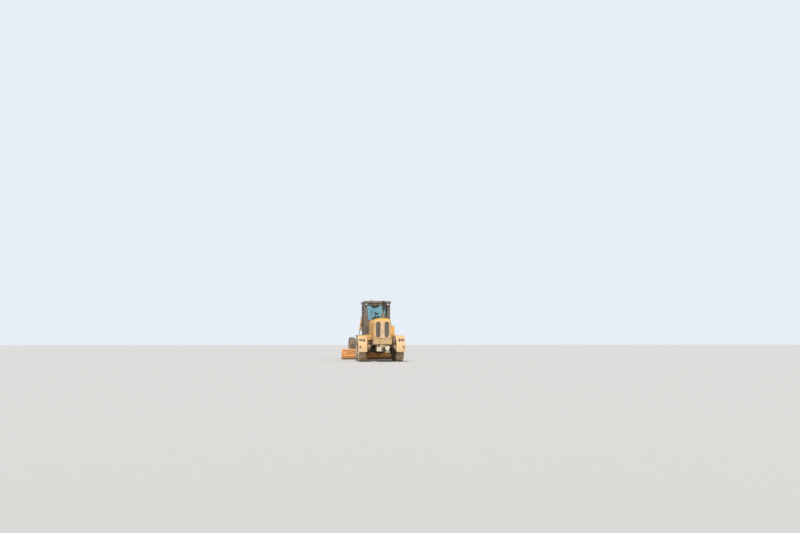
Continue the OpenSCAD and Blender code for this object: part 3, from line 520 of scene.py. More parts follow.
class Paints:
    """Builds the machine's materials."""

    def __init__(self, effects: Effects) -> None:
        """Takes the shared node groups."""
        self.effects = effects
        self.made: dict[str, bpy.types.Material] = {}

    @staticmethod
    def start(name: str) -> tuple[bpy.types.Material, Graph, bpy.types.NodeInputs]:
        """Starts a material.

        Args:
            name: The material's name.

        Returns:
            The material, its graph and its shader's inputs.
        """
        material = bpy.data.materials.new(name)
        material.use_nodes = True
        return material, Graph(material.node_tree), material.node_tree.nodes["Principled BSDF"].inputs

    @staticmethod
    def roughen(graph: Graph, shader: bpy.types.NodeInputs, height: Socket, distance: float,
                strength: float = 1.0) -> None:
        """Gives a material its bump.

        Args:
            graph: The material's graph.
            shader: Its shader's inputs.
            height: The bump's height.
            distance: The bump's distance in metres.
            strength: How strong it is.
        """
        bump = graph.add("ShaderNodeBump")
        bump.inputs["Strength"].default_value = strength
        bump.inputs["Distance"].default_value = distance
        graph.feed(bump.inputs["Height"], height)
        graph.feed(shader["Normal"], bump.outputs[0])

    def dusted(self, graph: Graph, colour: object, amount: float, reach: float, clear: float = 9.0) -> tuple:
        """Lays road dust over a colour.

        Args:
            graph: The material's graph.
            colour: The colour below.
            amount: How much dust.
            reach: Height up to which there is more.
            clear: Height above which there is hardly any.

        Returns:
            The colour's and the mask's sockets.
        """
        veil = graph.group(self.effects.dust, Color=colour, Dust=ROAD_DUST, Amount=amount, Reach=reach,
                           Clear=clear).outputs
        return veil["Color"], veil["Mask"]

    def get(self, finish: Finish) -> bpy.types.Material:
        """Returns the material of a finish, and builds it the first time.

        Args:
            finish: The finish.

        Returns:
            The material.
        """
        if finish.name in self.made:
            return self.made[finish.name]
        material, graph, shader = self.start(finish.name)
        slow = graph.noise(graph.spot(), 1.3, 3.0, 0.5)
        dark = tuple(part * (1 - 1.6 * COLOUR_SHIFT) for part in finish.colour)
        pale = tuple(min(1.0, part * (1 + COLOUR_SHIFT)) for part in finish.colour)
        colour = graph.mix(graph.band(slow, 0.3, 0.7), dark, pale)
        masks = []
        if finish.chip > 0:
            worn = ((self.effects.chips, finish.chip), (self.effects.rubbed, 0.45 + finish.chip))
            for tree, amount in worn:
                lost = graph.group(tree, Color=colour, Under=finish.under, Amount=amount).outputs
                colour = lost["Color"]
                masks.append(lost["Mask"])
        if finish.streak > 0:
            streaks = graph.group(self.effects.streaks, Color=colour, Stain=DRY_STAIN, Amount=finish.streak)
            colour = streaks.outputs["Color"]
        colour, dust = self.dusted(graph, colour, finish.dust, finish.reach, finish.clear)
        # Near-black below a height: oily dirt plus painted shade under the machine.
        if finish.grime_and_shade > 0:
            colour = graph.group(self.effects.grime_and_shade, Color=colour, Top=finish.grime_and_shade).outputs["Color"]
        graph.feed(shader["Base Color"], colour)
        graph.feed(shader["Roughness"], graph.band(dust, 0.0, 0.8, finish.roughness, 0.95))
        if finish.metallic > 0:
            graph.feed(shader["Metallic"], graph.band(dust, 0.15, 0.75, finish.metallic, 0.0))
        height = graph.group(self.effects.grain, Scale=finish.grain).outputs["Height"]
        for mask in masks:
            height = graph.minus(height, graph.times(mask, 0.5))
        self.roughen(graph, shader, height, finish.bump, 0.6)
        self.made[finish.name] = material
        return material

    def glass(self) -> bpy.types.Material:
        """Builds the cab's tinted glass, with dust towards its lower edge.

        Returns:
            The material.
        """
        material, graph, shader = self.start("cab_glass")
        colour, dust = self.dusted(graph, srgb(186, 219, 226), 0.1, 2.6)
        graph.feed(shader["Base Color"], colour)
        graph.feed(shader["Roughness"], graph.band(dust, 0.0, 0.5, 0.02, 0.35))
        shader["IOR"].default_value = 1.12
        shader["Transmission Weight"].default_value = 0.96
        return material

    def fabric(self) -> bpy.types.Material:
        """Builds the seat's woven cloth: a fine crossed weave with a lighter thread, worn in patches.

        Returns:
            The material.
        """
        material, graph, shader = self.start("seat_cloth")
        weave = graph.times(*(graph.wave(direction, 110.0, 0.6) for direction in "XZ"))
        worn = graph.band(graph.noise(graph.spot(), 7.0, 4.0), 0.45, 0.7, 0.0, 0.35)
        colour = graph.mix(weave, srgb(46, 45, 48), srgb(92, 88, 86))
        colour, _ = self.dusted(graph, graph.mix(worn, colour, srgb(120, 108, 92)), 0.15, 2.0)
        graph.feed(shader["Base Color"], colour)
        shader["Roughness"].default_value = 0.95
        shader["Sheen Weight"].default_value = 0.3
        self.roughen(graph, shader, weave, 0.0008)
        return material

    def lens(self, name: str, colour: Colour) -> bpy.types.Material:
        """Builds a moulded lamp lens with fine ribs.

        Args:
            name: The material's name.
            colour: The lens's colour.

        Returns:
            The material.
        """
        material, graph, shader = self.start(name)
        colour, dust = self.dusted(graph, colour, 0.35, 2.0)
        graph.feed(shader["Base Color"], colour)
        graph.feed(shader["Roughness"], graph.band(dust, 0.0, 0.6, 0.15, 0.7))
        shader["Coat Weight"].default_value = 0.5
        self.roughen(graph, shader, graph.wave("Z", 45.0), 0.001)
        return material


@dataclass(frozen=True)
class View:
    """The photograph's camera: behind the machine, a little to its left, near the ground.

    Attributes:
        focal_px: Focal length in the image's pixels.
        distance: How far it stands from the machine's middle.
        azimuth: Its turn round the machine in degrees, 0 straight behind.
        height: Its height over the ground.
        origin_x: The pixel column of the machine's middle.
        horizon_y: The pixel row of the horizon.
    """

    focal_px: float = 800.0
    distance: float = 47.0
    azimuth: float = -6.0
    height: float = 1.17
    origin_x: float = 374.4
    horizon_y: float = 340.0

    def build(self) -> None:
        """Builds the camera and makes it the scene's own."""
        data = bpy.data.cameras.new("camera")
        data.sensor_width = 36.0
        data.lens = self.focal_px * data.sensor_width / IMAGE_WIDTH
        data.clip_end = 500.0
        camera = bpy.data.objects.new("camera", data)
        turn = math.radians(self.azimuth)
        camera.location = (self.distance * math.sin(turn), -self.distance * math.cos(turn), self.height)
        aim = math.atan((IMAGE_WIDTH / 2 - self.origin_x) / self.focal_px)
        lift = math.atan((self.horizon_y - IMAGE_HEIGHT / 2) / self.focal_px)
        camera.rotation_euler = (math.pi / 2 + lift, 0.0, turn - aim)
        bpy.context.scene.collection.objects.link(camera)
        bpy.context.scene.camera = camera


class Studio:
    """The pale floor, the soft lamps and the plain world."""

    floor_half = 140.0
    lamps = (("sun", 3.5, 3.0, (42.0, 0.0, -19.0)), ("fill", 0.25, 50.0, (62.0, 0.0, 50.0)))
    world_light = 0.34

    def build(self) -> None:
        """Builds the floor, the lamps and the world."""
        self.build_floor()
        self.build_lamps()
        self.build_world()
        bpy.context.scene.view_settings.view_transform = "Standard"

    def build_floor(self) -> None:
        """Builds the floor that takes the object's shadow."""
        mesh = bpy.data.meshes.new("floor")
        half = self.floor_half
        corners = [(x * half, y * half, 0) for x, y in ((-1, -1), (1, -1), (1, 1), (-1, 1))]
        mesh.from_pydata(corners, [], [(0, 1, 2, 3)])
        material, graph, shader = Paints.start("floor")
        graph.feed(shader["Base Color"], (0.60, 0.58, 0.55))
        shader["Roughness"].default_value = 0.9
        mesh.materials.append(material)
        floor = bpy.data.objects.new("floor", mesh)
        bpy.context.scene.collection.objects.link(floor)

    def build_lamps(self) -> None:
        """Builds a high sun behind the machine, a little to its left, and a weak wide one from the right."""
        for name, strength, angle, turn in self.lamps:
            data = bpy.data.lights.new(name, "SUN")
            data.energy = strength
            data.angle = math.radians(angle)
            lamp = bpy.data.objects.new(name, data)
            lamp.rotation_euler = tuple(math.radians(part) for part in turn)
            bpy.context.scene.collection.objects.link(lamp)

    def build_world(self) -> None:
        """Builds the plain world light, and the pale background that the camera and glass see."""
        world = bpy.data.worlds.new("world")
        bpy.context.scene.world = world
        world.use_nodes = True
        graph, nodes = Graph(world.node_tree), world.node_tree.nodes
        light = nodes["Background"]
        graph.feed(light.inputs["Color"], (0.86, 0.92, 1.0))
        light.inputs["Strength"].default_value = self.world_light
        seen = graph.made("ShaderNodeBackground", {"Color": (0.80, 0.86, 0.93), "Strength": 1.0})
        path = graph.add("ShaderNodeLightPath").outputs
        either = path["Is Camera Ray"]
        for ray in ("Is Glossy Ray", "Is Transmission Ray"):
            either = graph.made("ShaderNodeMath", {0: either, 1: path[ray]}, operation="MAXIMUM")
        blend = graph.made("ShaderNodeMixShader", {0: either, 1: light.outputs[0], 2: seen})
        graph.feed(nodes["World Output"].inputs["Surface"], blend)


def arc(middle: Pair, radius: float, start: float, sweep: float, steps: int) -> list[Pair]:
    """Returns points along an arc that sweeps on, in so many steps, from the turn of its first point."""
    turns = [start + sweep * k / steps for k in range(steps + 1)]
    return [(middle[0] + radius * math.cos(turn), middle[1] + radius * math.sin(turn)) for turn in turns]


def round_rectangle(low: Pair, high: Pair, radius: float) -> list[Pair]:
    """Returns the outline of a rectangle with round corners.

    Args:
        low: Its lowest corner.
        high: Its highest corner.
        radius: The radius of its corners.

    Returns:
        The outline.
    """
    left, right, bottom, top = low[0] + radius, high[0] - radius, low[1] + radius, high[1] - radius
    points = []
    for place, middle in enumerate(((right, top), (left, top), (left, bottom), (right, bottom))):
        points += arc(middle, radius, math.pi / 2 * place, math.pi / 2, 6)
    return points


def rounded_path(points: list[Vector], bend: float) -> list[Vector]:
    """Rounds the corners of a path.

    Args:
        points: The path.
        bend: The radius of its bends, where there is room.

    Returns:
        The rounded path.
    """
    smooth = [points[0]]
    for before, corner, after in zip(points, points[1:], points[2:]):
        back, forth = before - corner, after - corner
        reach = min(bend, back.length * 0.45, forth.length * 0.45)
        start, end = corner + back.normalized() * reach, corner + forth.normalized() * reach
        for t in (0, 0.2, 0.4, 0.6, 0.8, 1):
            smooth.append((1 - t) ** 2 * start + 2 * t * (1 - t) * corner + t * t * end)
    smooth.append(points[-1])
    return smooth


def bevelled(part: bmesh.types.BMesh, edges: Iterable, offset: float, clamp: bool = True) -> list:
    """Rounds edges of a mesh and returns the new faces; where clamp holds, the rounds don't overlap."""
    return bmesh.ops.bevel(part, geom=list(edges), offset=offset, segments=2, profile=0.6, affect="EDGES",
                           clamp_overlap=clamp)["faces"]


def sharp_edges(part: bmesh.types.BMesh, angle: float) -> list:
    """Returns the edges where two faces meet at more than an angle in degrees."""
    return [edge for edge in part.edges if edge.is_manifold and edge.calc_face_angle(0) > math.radians(angle)]


def skin(part: bmesh.types.BMesh, rows: list[list], ring: bool = False) -> None:
    """Joins rows of points, each a closed outline, into a closed shape.

    Args:
        part: The mesh.
        rows: The rows of its points.
        ring: Whether the last row joins the first; otherwise both are closed by a face.
    """
    for first, second in zip(rows, rows[1:] + rows[:1] if ring else rows[1:]):
        for k in range(len(first)):
            follow = (k + 1) % len(first)
            part.faces.new((first[k], first[follow], second[follow], second[k]))
    if ring:
        bmesh.ops.remove_doubles(part, verts=part.verts, dist=1e-6)
    else:
        part.faces.new(rows[0])
        part.faces.new(list(reversed(rows[-1])))
    bmesh.ops.recalc_face_normals(part, faces=part.faces)


def shade(piece: bpy.types.Object, angle: float) -> None:
    """Shades a piece smooth, with sharp edges where its faces meet at more than an angle.

    Args:
        piece: The piece.
        angle: The angle in degrees.
    """
    for polygon in piece.data.polygons:
        polygon.use_smooth = True
    work = bmesh.new()
    work.from_mesh(piece.data)
    for edge in work.edges:
        if len(edge.link_faces) == 2 and edge.calc_face_angle(0) > math.radians(angle):
            edge.smooth = False
    work.to_mesh(piece.data)
    work.free()


def new_piece(name: str, work: bmesh.types.BMesh, material: bpy.types.Material,
              smooth: float) -> bpy.types.Object:
    """Turns a mesh into an object.

    Args:
        name: The piece's name.
        work: The mesh, which is freed.
        material: Its material.
        smooth: Faces that meet at less than this angle in degrees are shaded as one.

    Returns:
        The object, at the origin, with its place in its mesh.
    """
    data = bpy.data.meshes.new(name)
    work.to_mesh(data)
    work.free()
    data.materials.append(material)
    piece = bpy.data.objects.new(name, data)
    bpy.context.scene.collection.objects.link(piece)
    shade(piece, smooth)
    return piece


def baked(piece: bpy.types.Object) -> bpy.types.Object:
    """Applies a piece's modifiers to its mesh and removes them.

    Args:
        piece: The piece.

    Returns:
        The piece.
    """
    bpy.context.view_layer.update()
    graph = bpy.context.evaluated_depsgraph_get()
    result = bpy.data.meshes.new_from_object(piece.evaluated_get(graph))
    piece.modifiers.clear()
    piece.data = result
    return piece


class Shaper:
    """Gathers simple shapes into one mesh, each with its own rounded edges."""

    def __init__(self) -> None:
        """Starts an empty mesh."""
        self.mesh = bmesh.new()

    def add(self, part: bmesh.types.BMesh, place: Matrix | None = None) -> Shaper:
        """Adds a finished part and frees it.

        Args:
            part: The part.
            place: Where it goes.

        Returns:
            These shapes.
        """
        if place is not None:
            part.transform(place)
            if place.determinant() < 0:
                bmesh.ops.reverse_faces(part, faces=part.faces)
        scratch = bpy.data.meshes.new("part")
        part.to_mesh(scratch)
        part.free()
        return self.take(scratch)

    def take(self, mesh: bpy.types.Mesh) -> Shaper:
        """Adds a plain mesh and frees it.

        Args:
            mesh: The mesh.

        Returns:
            These shapes.
        """
        self.mesh.from_mesh(mesh)
        bpy.data.meshes.remove(mesh)
        return self

    def box(self, low: Point, high: Point, edge: float = 0.004, place: Matrix | None = None) -> Shaper:
        """Adds a box.

        Args:
            low: Its lowest corner.
            high: Its highest corner.
            edge: Rounding of its edges.
            place: Where it goes from there.

        Returns:
            These shapes.
        """
        part = bmesh.new()
        bmesh.ops.create_cube(part, size=1.0)
        size = [b - a for a, b in zip(low, high)]
        middle = [(a + b) / 2 for a, b in zip(low, high)]
        for vertex in part.verts:
            vertex.co = Vector(v * s + m for v, s, m in zip(vertex.co, size, middle))
        bevelled(part, part.edges, min(edge, min(size) * 0.3), False)
        return self.add(part, place)

    def rod(self, axis: Axis, radius: float, start: Point, length: float, sides: int = 24,
            edge: float = 0.003) -> Shaper:
        """Adds a round bar with its end edges rounded.

        Args:
            axis: The direction it runs in.
            radius: Its radius.
            start: The middle of its first end.
            length: How far it runs, less than 0 for against the axis.
            sides: Sides of its outline.
            edge: Rounding of its ends.

        Returns:
            These shapes.
        """
        part = bmesh.new()
        long = abs(length)
        bmesh.ops.create_cone(part, cap_ends=True, segments=sides, radius1=radius, radius2=radius, depth=long)
        rims = [e for e in part.edges if abs(e.verts[0].co.z - e.verts[1].co.z) < 1e-6]
        bevelled(part, rims, min(edge, long * 0.3, radius * 0.4), False)
        first = Vector(start) + axis.unit(min(length, 0.0))
        return self.add(part, Matrix.Translation(first) @ axis.turn() @ Matrix.Translation((0, 0, long / 2)))

    def revolve(self, axis: Axis, middle: Point, profile: Sequence[Pair], sides: int = 48) -> Shaper:
        """Adds a closed ring.

        Args:
            axis: The axis it is turned about.
            middle: Where that axis runs.
            profile: Its outline, as pairs of a radius and a place along the axis.
            sides: Steps round the axis.

        Returns:
            These shapes.
        """
        part = bmesh.new()
        rows = []
        for turn in (math.tau * step / sides for step in range(sides)):
            rows.append([part.verts.new((r * math.cos(turn), r * math.sin(turn), h)) for r, h in profile])
        skin(part, rows, True)
        return self.add(part, Matrix.Translation(middle) @ axis.turn())

    def thicken(self, part: bmesh.types.BMesh, faces: list, axis: Axis, depth: float) -> None:
        """Makes flat faces of a part thick along an axis.

        Args:
            part: The part.
            faces: Its flat faces.
            axis: The axis.
            depth: How thick.
        """
        pushed = bmesh.ops.extrude_face_region(part, geom=faces)["geom"]
        verts = [item for item in pushed if isinstance(item, bmesh.types.BMVert)]
        bmesh.ops.translate(part, vec=axis.unit(depth), verts=verts)
        bmesh.ops.recalc_face_normals(part, faces=part.faces)

    def prism(self, axis: Axis, outline: Sequence[Pair], start: float, end: float,
              edge: float = 0.004) -> Shaper:
        """Adds an outline made thick along an axis.

        Args:
            axis: The direction it is made thick in.
            outline: Its corners.
            start: Where it starts along the axis.
            end: Where it ends.
            edge: Rounding of its edges.

        Returns:
            These shapes.
        """
        part = bmesh.new()
        face = part.faces.new([part.verts.new(axis.point(start, pair)) for pair in outline])
        self.thicken(part, [face], axis, end - start)
        if edge > 0:
            bevelled(part, sharp_edges(part, 25), edge)
        return self.add(part)

    def plate(self, axis: Axis, outlines: Sequence[Sequence[Pair]], start: float, end: float,
              edge: float = 0.004) -> Shaper:
        """Adds a plate with holes, made thick along an axis.

        Args:
            axis: The direction it is made thick in.
            outlines: Its outline, and the outline of each hole.
            start: Where it starts along the axis.
            end: Where it ends.
            edge: Rounding of its edges.

        Returns:
            These shapes.
        """
        part = bmesh.new()
        for outline in outlines:
            corners = [part.verts.new(axis.point(start, pair)) for pair in outline]
            for first, second in zip(corners, corners[1:] + corners[:1]):
                part.edges.new((first, second))
        bmesh.ops.triangle_fill(part, use_beauty=True, use_dissolve=False, edges=part.edges[:])
        self.thicken(part, part.faces[:], axis, end - start)
        bevelled(part, sharp_edges(part, 60), edge, False)
        return self.add(part)

    def tube(self, path: Sequence[Point], radius: float, sides: int = 10, bend: float = 0.04) -> Shaper:
        """Adds a tube with rounded bends and closed ends.

        Args:
            path: The points that it follows.
            radius: Its radius.
            sides: Sides of its outline.
            bend: The radius of its bends.

        Returns:
            These shapes.
        """
        points = rounded_path([Vector(p) for p in path], bend)
        part = bmesh.new()
        rows = []
        normal = Vector((0, 0, 1))
        for place, point in enumerate(points):
            ahead = (points[min(place + 1, len(points) - 1)] - points[max(place - 1, 0)]).normalized()
            side = ahead.cross(normal)
            if side.length < 1e-3:
                side = ahead.cross(Vector((1, 0, 0)))
            side.normalize()
            normal = side.cross(ahead).normalized()
            rows.append([part.verts.new(point + radius * (side * math.cos(t) + normal * math.sin(t)))
                         for t in (math.tau * k / sides for k in range(sides))])
        skin(part, rows)
        return self.add(part)

    def staple(self, start: Point, out: Point, span: Point, radius: float, bend: float) -> Shaper:
        """Adds a bent bar like a staple: out from its first foot, across by its span, and back."""
        foot, out, span = Vector(start), Vector(out), Vector(span)
        return self.tube([foot, foot + out, foot + out + span, foot + span], radius, 8, bend)

    def loop(self, corners: Sequence[Point], radius: float) -> Shaper:
        """Adds a tube round a closed outline, joined in the middle of its last side."""
        middle = (Vector(corners[0]) + Vector(corners[-1])) / 2
        return self.tube([middle, *corners, middle], radius, 8, 0.05)

    def mirrored(self) -> Shaper:
        """Adds the same shapes on the machine's other side."""
        return self.add(self.mesh.copy(), Matrix.Scale(-1, 4, (1, 0, 0)))

    def copied(self, place: Matrix) -> Shaper:
        """Returns a copy of the shapes, moved."""
        return Shaper().add(self.mesh.copy(), place)

    def done(self, name: str, material: bpy.types.Material, smooth: float = 35.0) -> bpy.types.Object:
        """Turns the shapes into an object, shaded smooth below an angle in degrees."""
        return new_piece(name, self.mesh, material, smooth)


class Workshop:
    """Names, places and reports every piece of the dressed machine."""

    def __init__(self, frame: dict, paints: Paints) -> None:
        """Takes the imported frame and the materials.

        Args:
            frame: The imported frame.
            paints: The materials.
        """
        self.nodes = frame["nodes"]
        self.paints = paints
        self.body_of = {node: body for body, members in frame["record"]["behaviour"]["bodies"].items()
                        for node in members}

    def place(self, piece: bpy.types.Object, body: str, slot: Slot, replaced: Sequence[str] = ()) -> None:
        """Makes a piece ride on its body and reports it.

        Args:
            piece: The piece.
            body: The body.
            slot: The record's slot that its finish stands for; not used.
            replaced: The CAD nodes that it stands for.
        """
        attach(piece, body)
        if replaced:
            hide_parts(*replaced)
        log.info("%s on %s: %d faces", piece.name, body, len(piece.data.polygons))

    def put(self, shapes: Shaper, name: str, body: str, finish: Finish, replaced: Sequence[str] = (),
            smooth: float = 35.0) -> None:
        """Finishes gathered shapes as a piece of one finish, shaded smooth below an angle in degrees."""
        self.place(shapes.done(name, self.paints.get(finish), smooth), body, finish.slot, replaced)

    def put_lens(self, shapes: Shaper, name: str, body: str, colour: Colour) -> None:
        """Finishes gathered shapes as lenses of one colour."""
        self.place(shapes.done(name, self.paints.lens("lens_" + name, colour)), body, Slot.LENS)

    def soften(self, node: str, finish: Finish, edge: float = 0.004) -> None:
        """Stands a copy of a node in its place, merged, with its long edges rounded and marked as worn.

        Args:
            node: The CAD node.
            finish: Its finish.
            edge: Rounding of its edges.
        """
        work = bmesh.new()
        work.from_mesh(self.nodes[node].data)
        bmesh.ops.remove_doubles(work, verts=work.verts, dist=2e-5)
        bmesh.ops.dissolve_limit(work, angle_limit=math.radians(0.6), verts=work.verts, edges=work.edges)
        worn = work.faces.layers.float.new("worn")
        sharp = [e for e in work.edges if e.is_manifold and e.calc_face_angle_signed(0) > math.radians(30)
                 and e.calc_length() > 3 * edge]
        for face in bevelled(work, sharp, edge, False):
            face[worn] = 1.0
        bmesh.ops.triangulate(work, faces=[f for f in work.faces if len(f.verts) > 4])
        piece = new_piece(node + "_dressed", work, self.paints.get(finish), 40.0)
        self.place(piece, self.body_of[node], finish.slot, [node])

    def paint(self, node: str, material: bpy.types.Material) -> None:
        """Gives a CAD node that stays its material.

        Args:
            node: The node.
            material: The material.
        """
        materials = self.nodes[node].data.materials
        materials.clear()
        materials.append(material)


class Repeater:
    """Geometry Nodes trees that repeat a shape round an axis or along a line."""

    def __init__(self) -> None:
        """Builds both trees."""
        self.ring = self.build("repeat in a ring", ("Middle", "Axis"))
        self.row = self.build("repeat in a row", ("Step",))

    @staticmethod
    def build(name: str, vectors: Sequence[str]) -> bpy.types.NodeTree:
        """Builds a tree that repeats the mesh it is given Count times.

        Args:
            name: The tree's name.
            vectors: Middle and Axis, to go round an axis through a middle, or Step, to go along a line.

        Returns:
            The tree.
        """
        tree = bpy.data.node_groups.new(name, "GeometryNodeTree")
        tree.is_modifier = True
        kinds = {"Geometry": "Geometry", "Count": "Int", **dict.fromkeys(vectors, "Vector"),
                 "Material": "Material"}
        for label, kind in kinds.items():
            tree.interface.new_socket(label, in_out="INPUT", socket_type="NodeSocket" + kind)
        tree.interface.new_socket("Geometry", in_out="OUTPUT", socket_type="NodeSocketGeometry")
        graph = Graph(tree)
        entry = graph.add("NodeGroupInput").outputs
        index = graph.add("GeometryNodeInputIndex").outputs[0]
        if "Step" in vectors:
            place = graph.scaled(entry["Step"], index)
            copies = {"Instance": entry["Geometry"]}
        else:
            place = entry["Middle"]
            share = graph.made("ShaderNodeMath", {0: index, 1: entry["Count"]}, operation="DIVIDE")
            shift = {"Geometry": entry["Geometry"], "Translation": graph.scaled(place, -1.0)}
            turn = {"Axis": entry["Axis"], "Angle": graph.times(share, math.tau)}
            copies = {"Instance": graph.made("GeometryNodeTransform", shift),
                      "Rotation": graph.made("FunctionNodeAxisAngleToRotation", turn)}
        copies["Points"] = graph.made("GeometryNodePoints", {"Count": entry["Count"], "Position": place})
        placed = graph.made("GeometryNodeInstanceOnPoints", copies)
        real = graph.made("GeometryNodeRealizeInstances", {0: placed})
        dressed = graph.made("GeometryNodeSetMaterial", {"Geometry": real, "Material": entry["Material"]})
        graph.feed(graph.add("NodeGroupOutput").inputs[0], dressed)
        return tree

    @staticmethod
    def run(tree: bpy.types.NodeTree, shapes: Shaper, material: bpy.types.Material,
            **values: object) -> bpy.types.Mesh:
        """Repeats gathered shapes.

        Args:
            tree: The tree that repeats them.
            shapes: The shapes, which are used up.
            material: The material that they carry.
            **values: The tree's inputs by name.

        Returns:
            The plain mesh.
        """
        source = shapes.done("repeated", material)
        modifier = source.modifiers.new("repeat", "NODES")
        modifier.node_group = tree
        values["Material"] = material
        for item in tree.interface.items_tree:
            if item.in_out == "INPUT" and item.name in values:
                modifier[item.identifier] = values[item.name]
        mesh = baked(source).data.copy()
        bpy.data.objects.remove(source)
        return mesh


@dataclass
class Assembly:
    """A sub-assembly, with the workshop that places its pieces and the trees that repeat shapes.

    Attributes:
        shop: The workshop.
        repeat: The repeating trees.
    """

    shop: Workshop
    repeat: Repeater

    def ring(self, into: Shaper, shapes: Shaper, count: int, middle: Point = (0, 0, 0),
             axis: Axis = Axis.Z) -> Shaper:
        """Adds shapes, which are used up, so many times round an axis through a point."""
        return into.take(self.repeat.run(self.repeat.ring, shapes, self.shop.paints.get(STEEL), Count=count,
                                         Middle=tuple(middle), Axis=tuple(axis.unit())))

    def row(self, into: Shaper, shapes: Shaper, count: int, step: Point) -> Shaper:
        """Adds shapes, which are used up, so many times along a line, each a step from the last."""
        steel = self.shop.paints.get(STEEL)
        return into.take(self.repeat.run(self.repeat.row, shapes, steel, Count=count, Step=tuple(step)))

    @staticmethod
    def bolt(axis: Axis, start: Point, size: float, out: float = 1.0) -> Shaper:
        """Builds one hexagon head on its washer.

        Args:
            axis: The bolt's direction.
            start: Where it meets the face.
            size: The head's radius.
            out: 1 where it stands out along the axis, -1 where against it.

        Returns:
            The shapes.
        """
        washer, head, foot = size * 0.3 * out, size * 0.8 * out, Vector(start) - axis.unit(0.001 * out)
        shapes = Shaper().rod(axis, size * 1.4, foot, washer, 12, 0.001)
        return shapes.rod(axis, size, foot + axis.unit(washer * 0.9), head, 6, 0.0015)

    def bolts(self, into: Shaper, axis: Axis, start: Point, count: int, step: Point, size: float = 0.014,
              out: float = 1.0) -> Shaper:
        """Adds a row of bolt heads that stand out along the axis, or against it where out is -1."""
        return self.row(into, self.bolt(axis, start, size, out), count, step)

    def bolt_ring(self, into: Shaper, axis: Axis, middle: Point, radius: float, count: int,
                  size: float = 0.014, out: float = 1.0) -> Shaper:
        """Adds a circle of bolt heads.

        Args:
            into: Where they are added.
            axis: Their direction.
            middle: The circle's middle.
            radius: Its radius.
            count: How many.
            size: Each head's radius.
            out: 1 where they stand out along the axis, -1 where against it.

        Returns:
            The gathered shapes.
        """
        start = Vector(middle)
        start[(axis.value + 1) % 3] += radius
        return self.ring(into, self.bolt(axis, start, size, out), count, middle, axis)


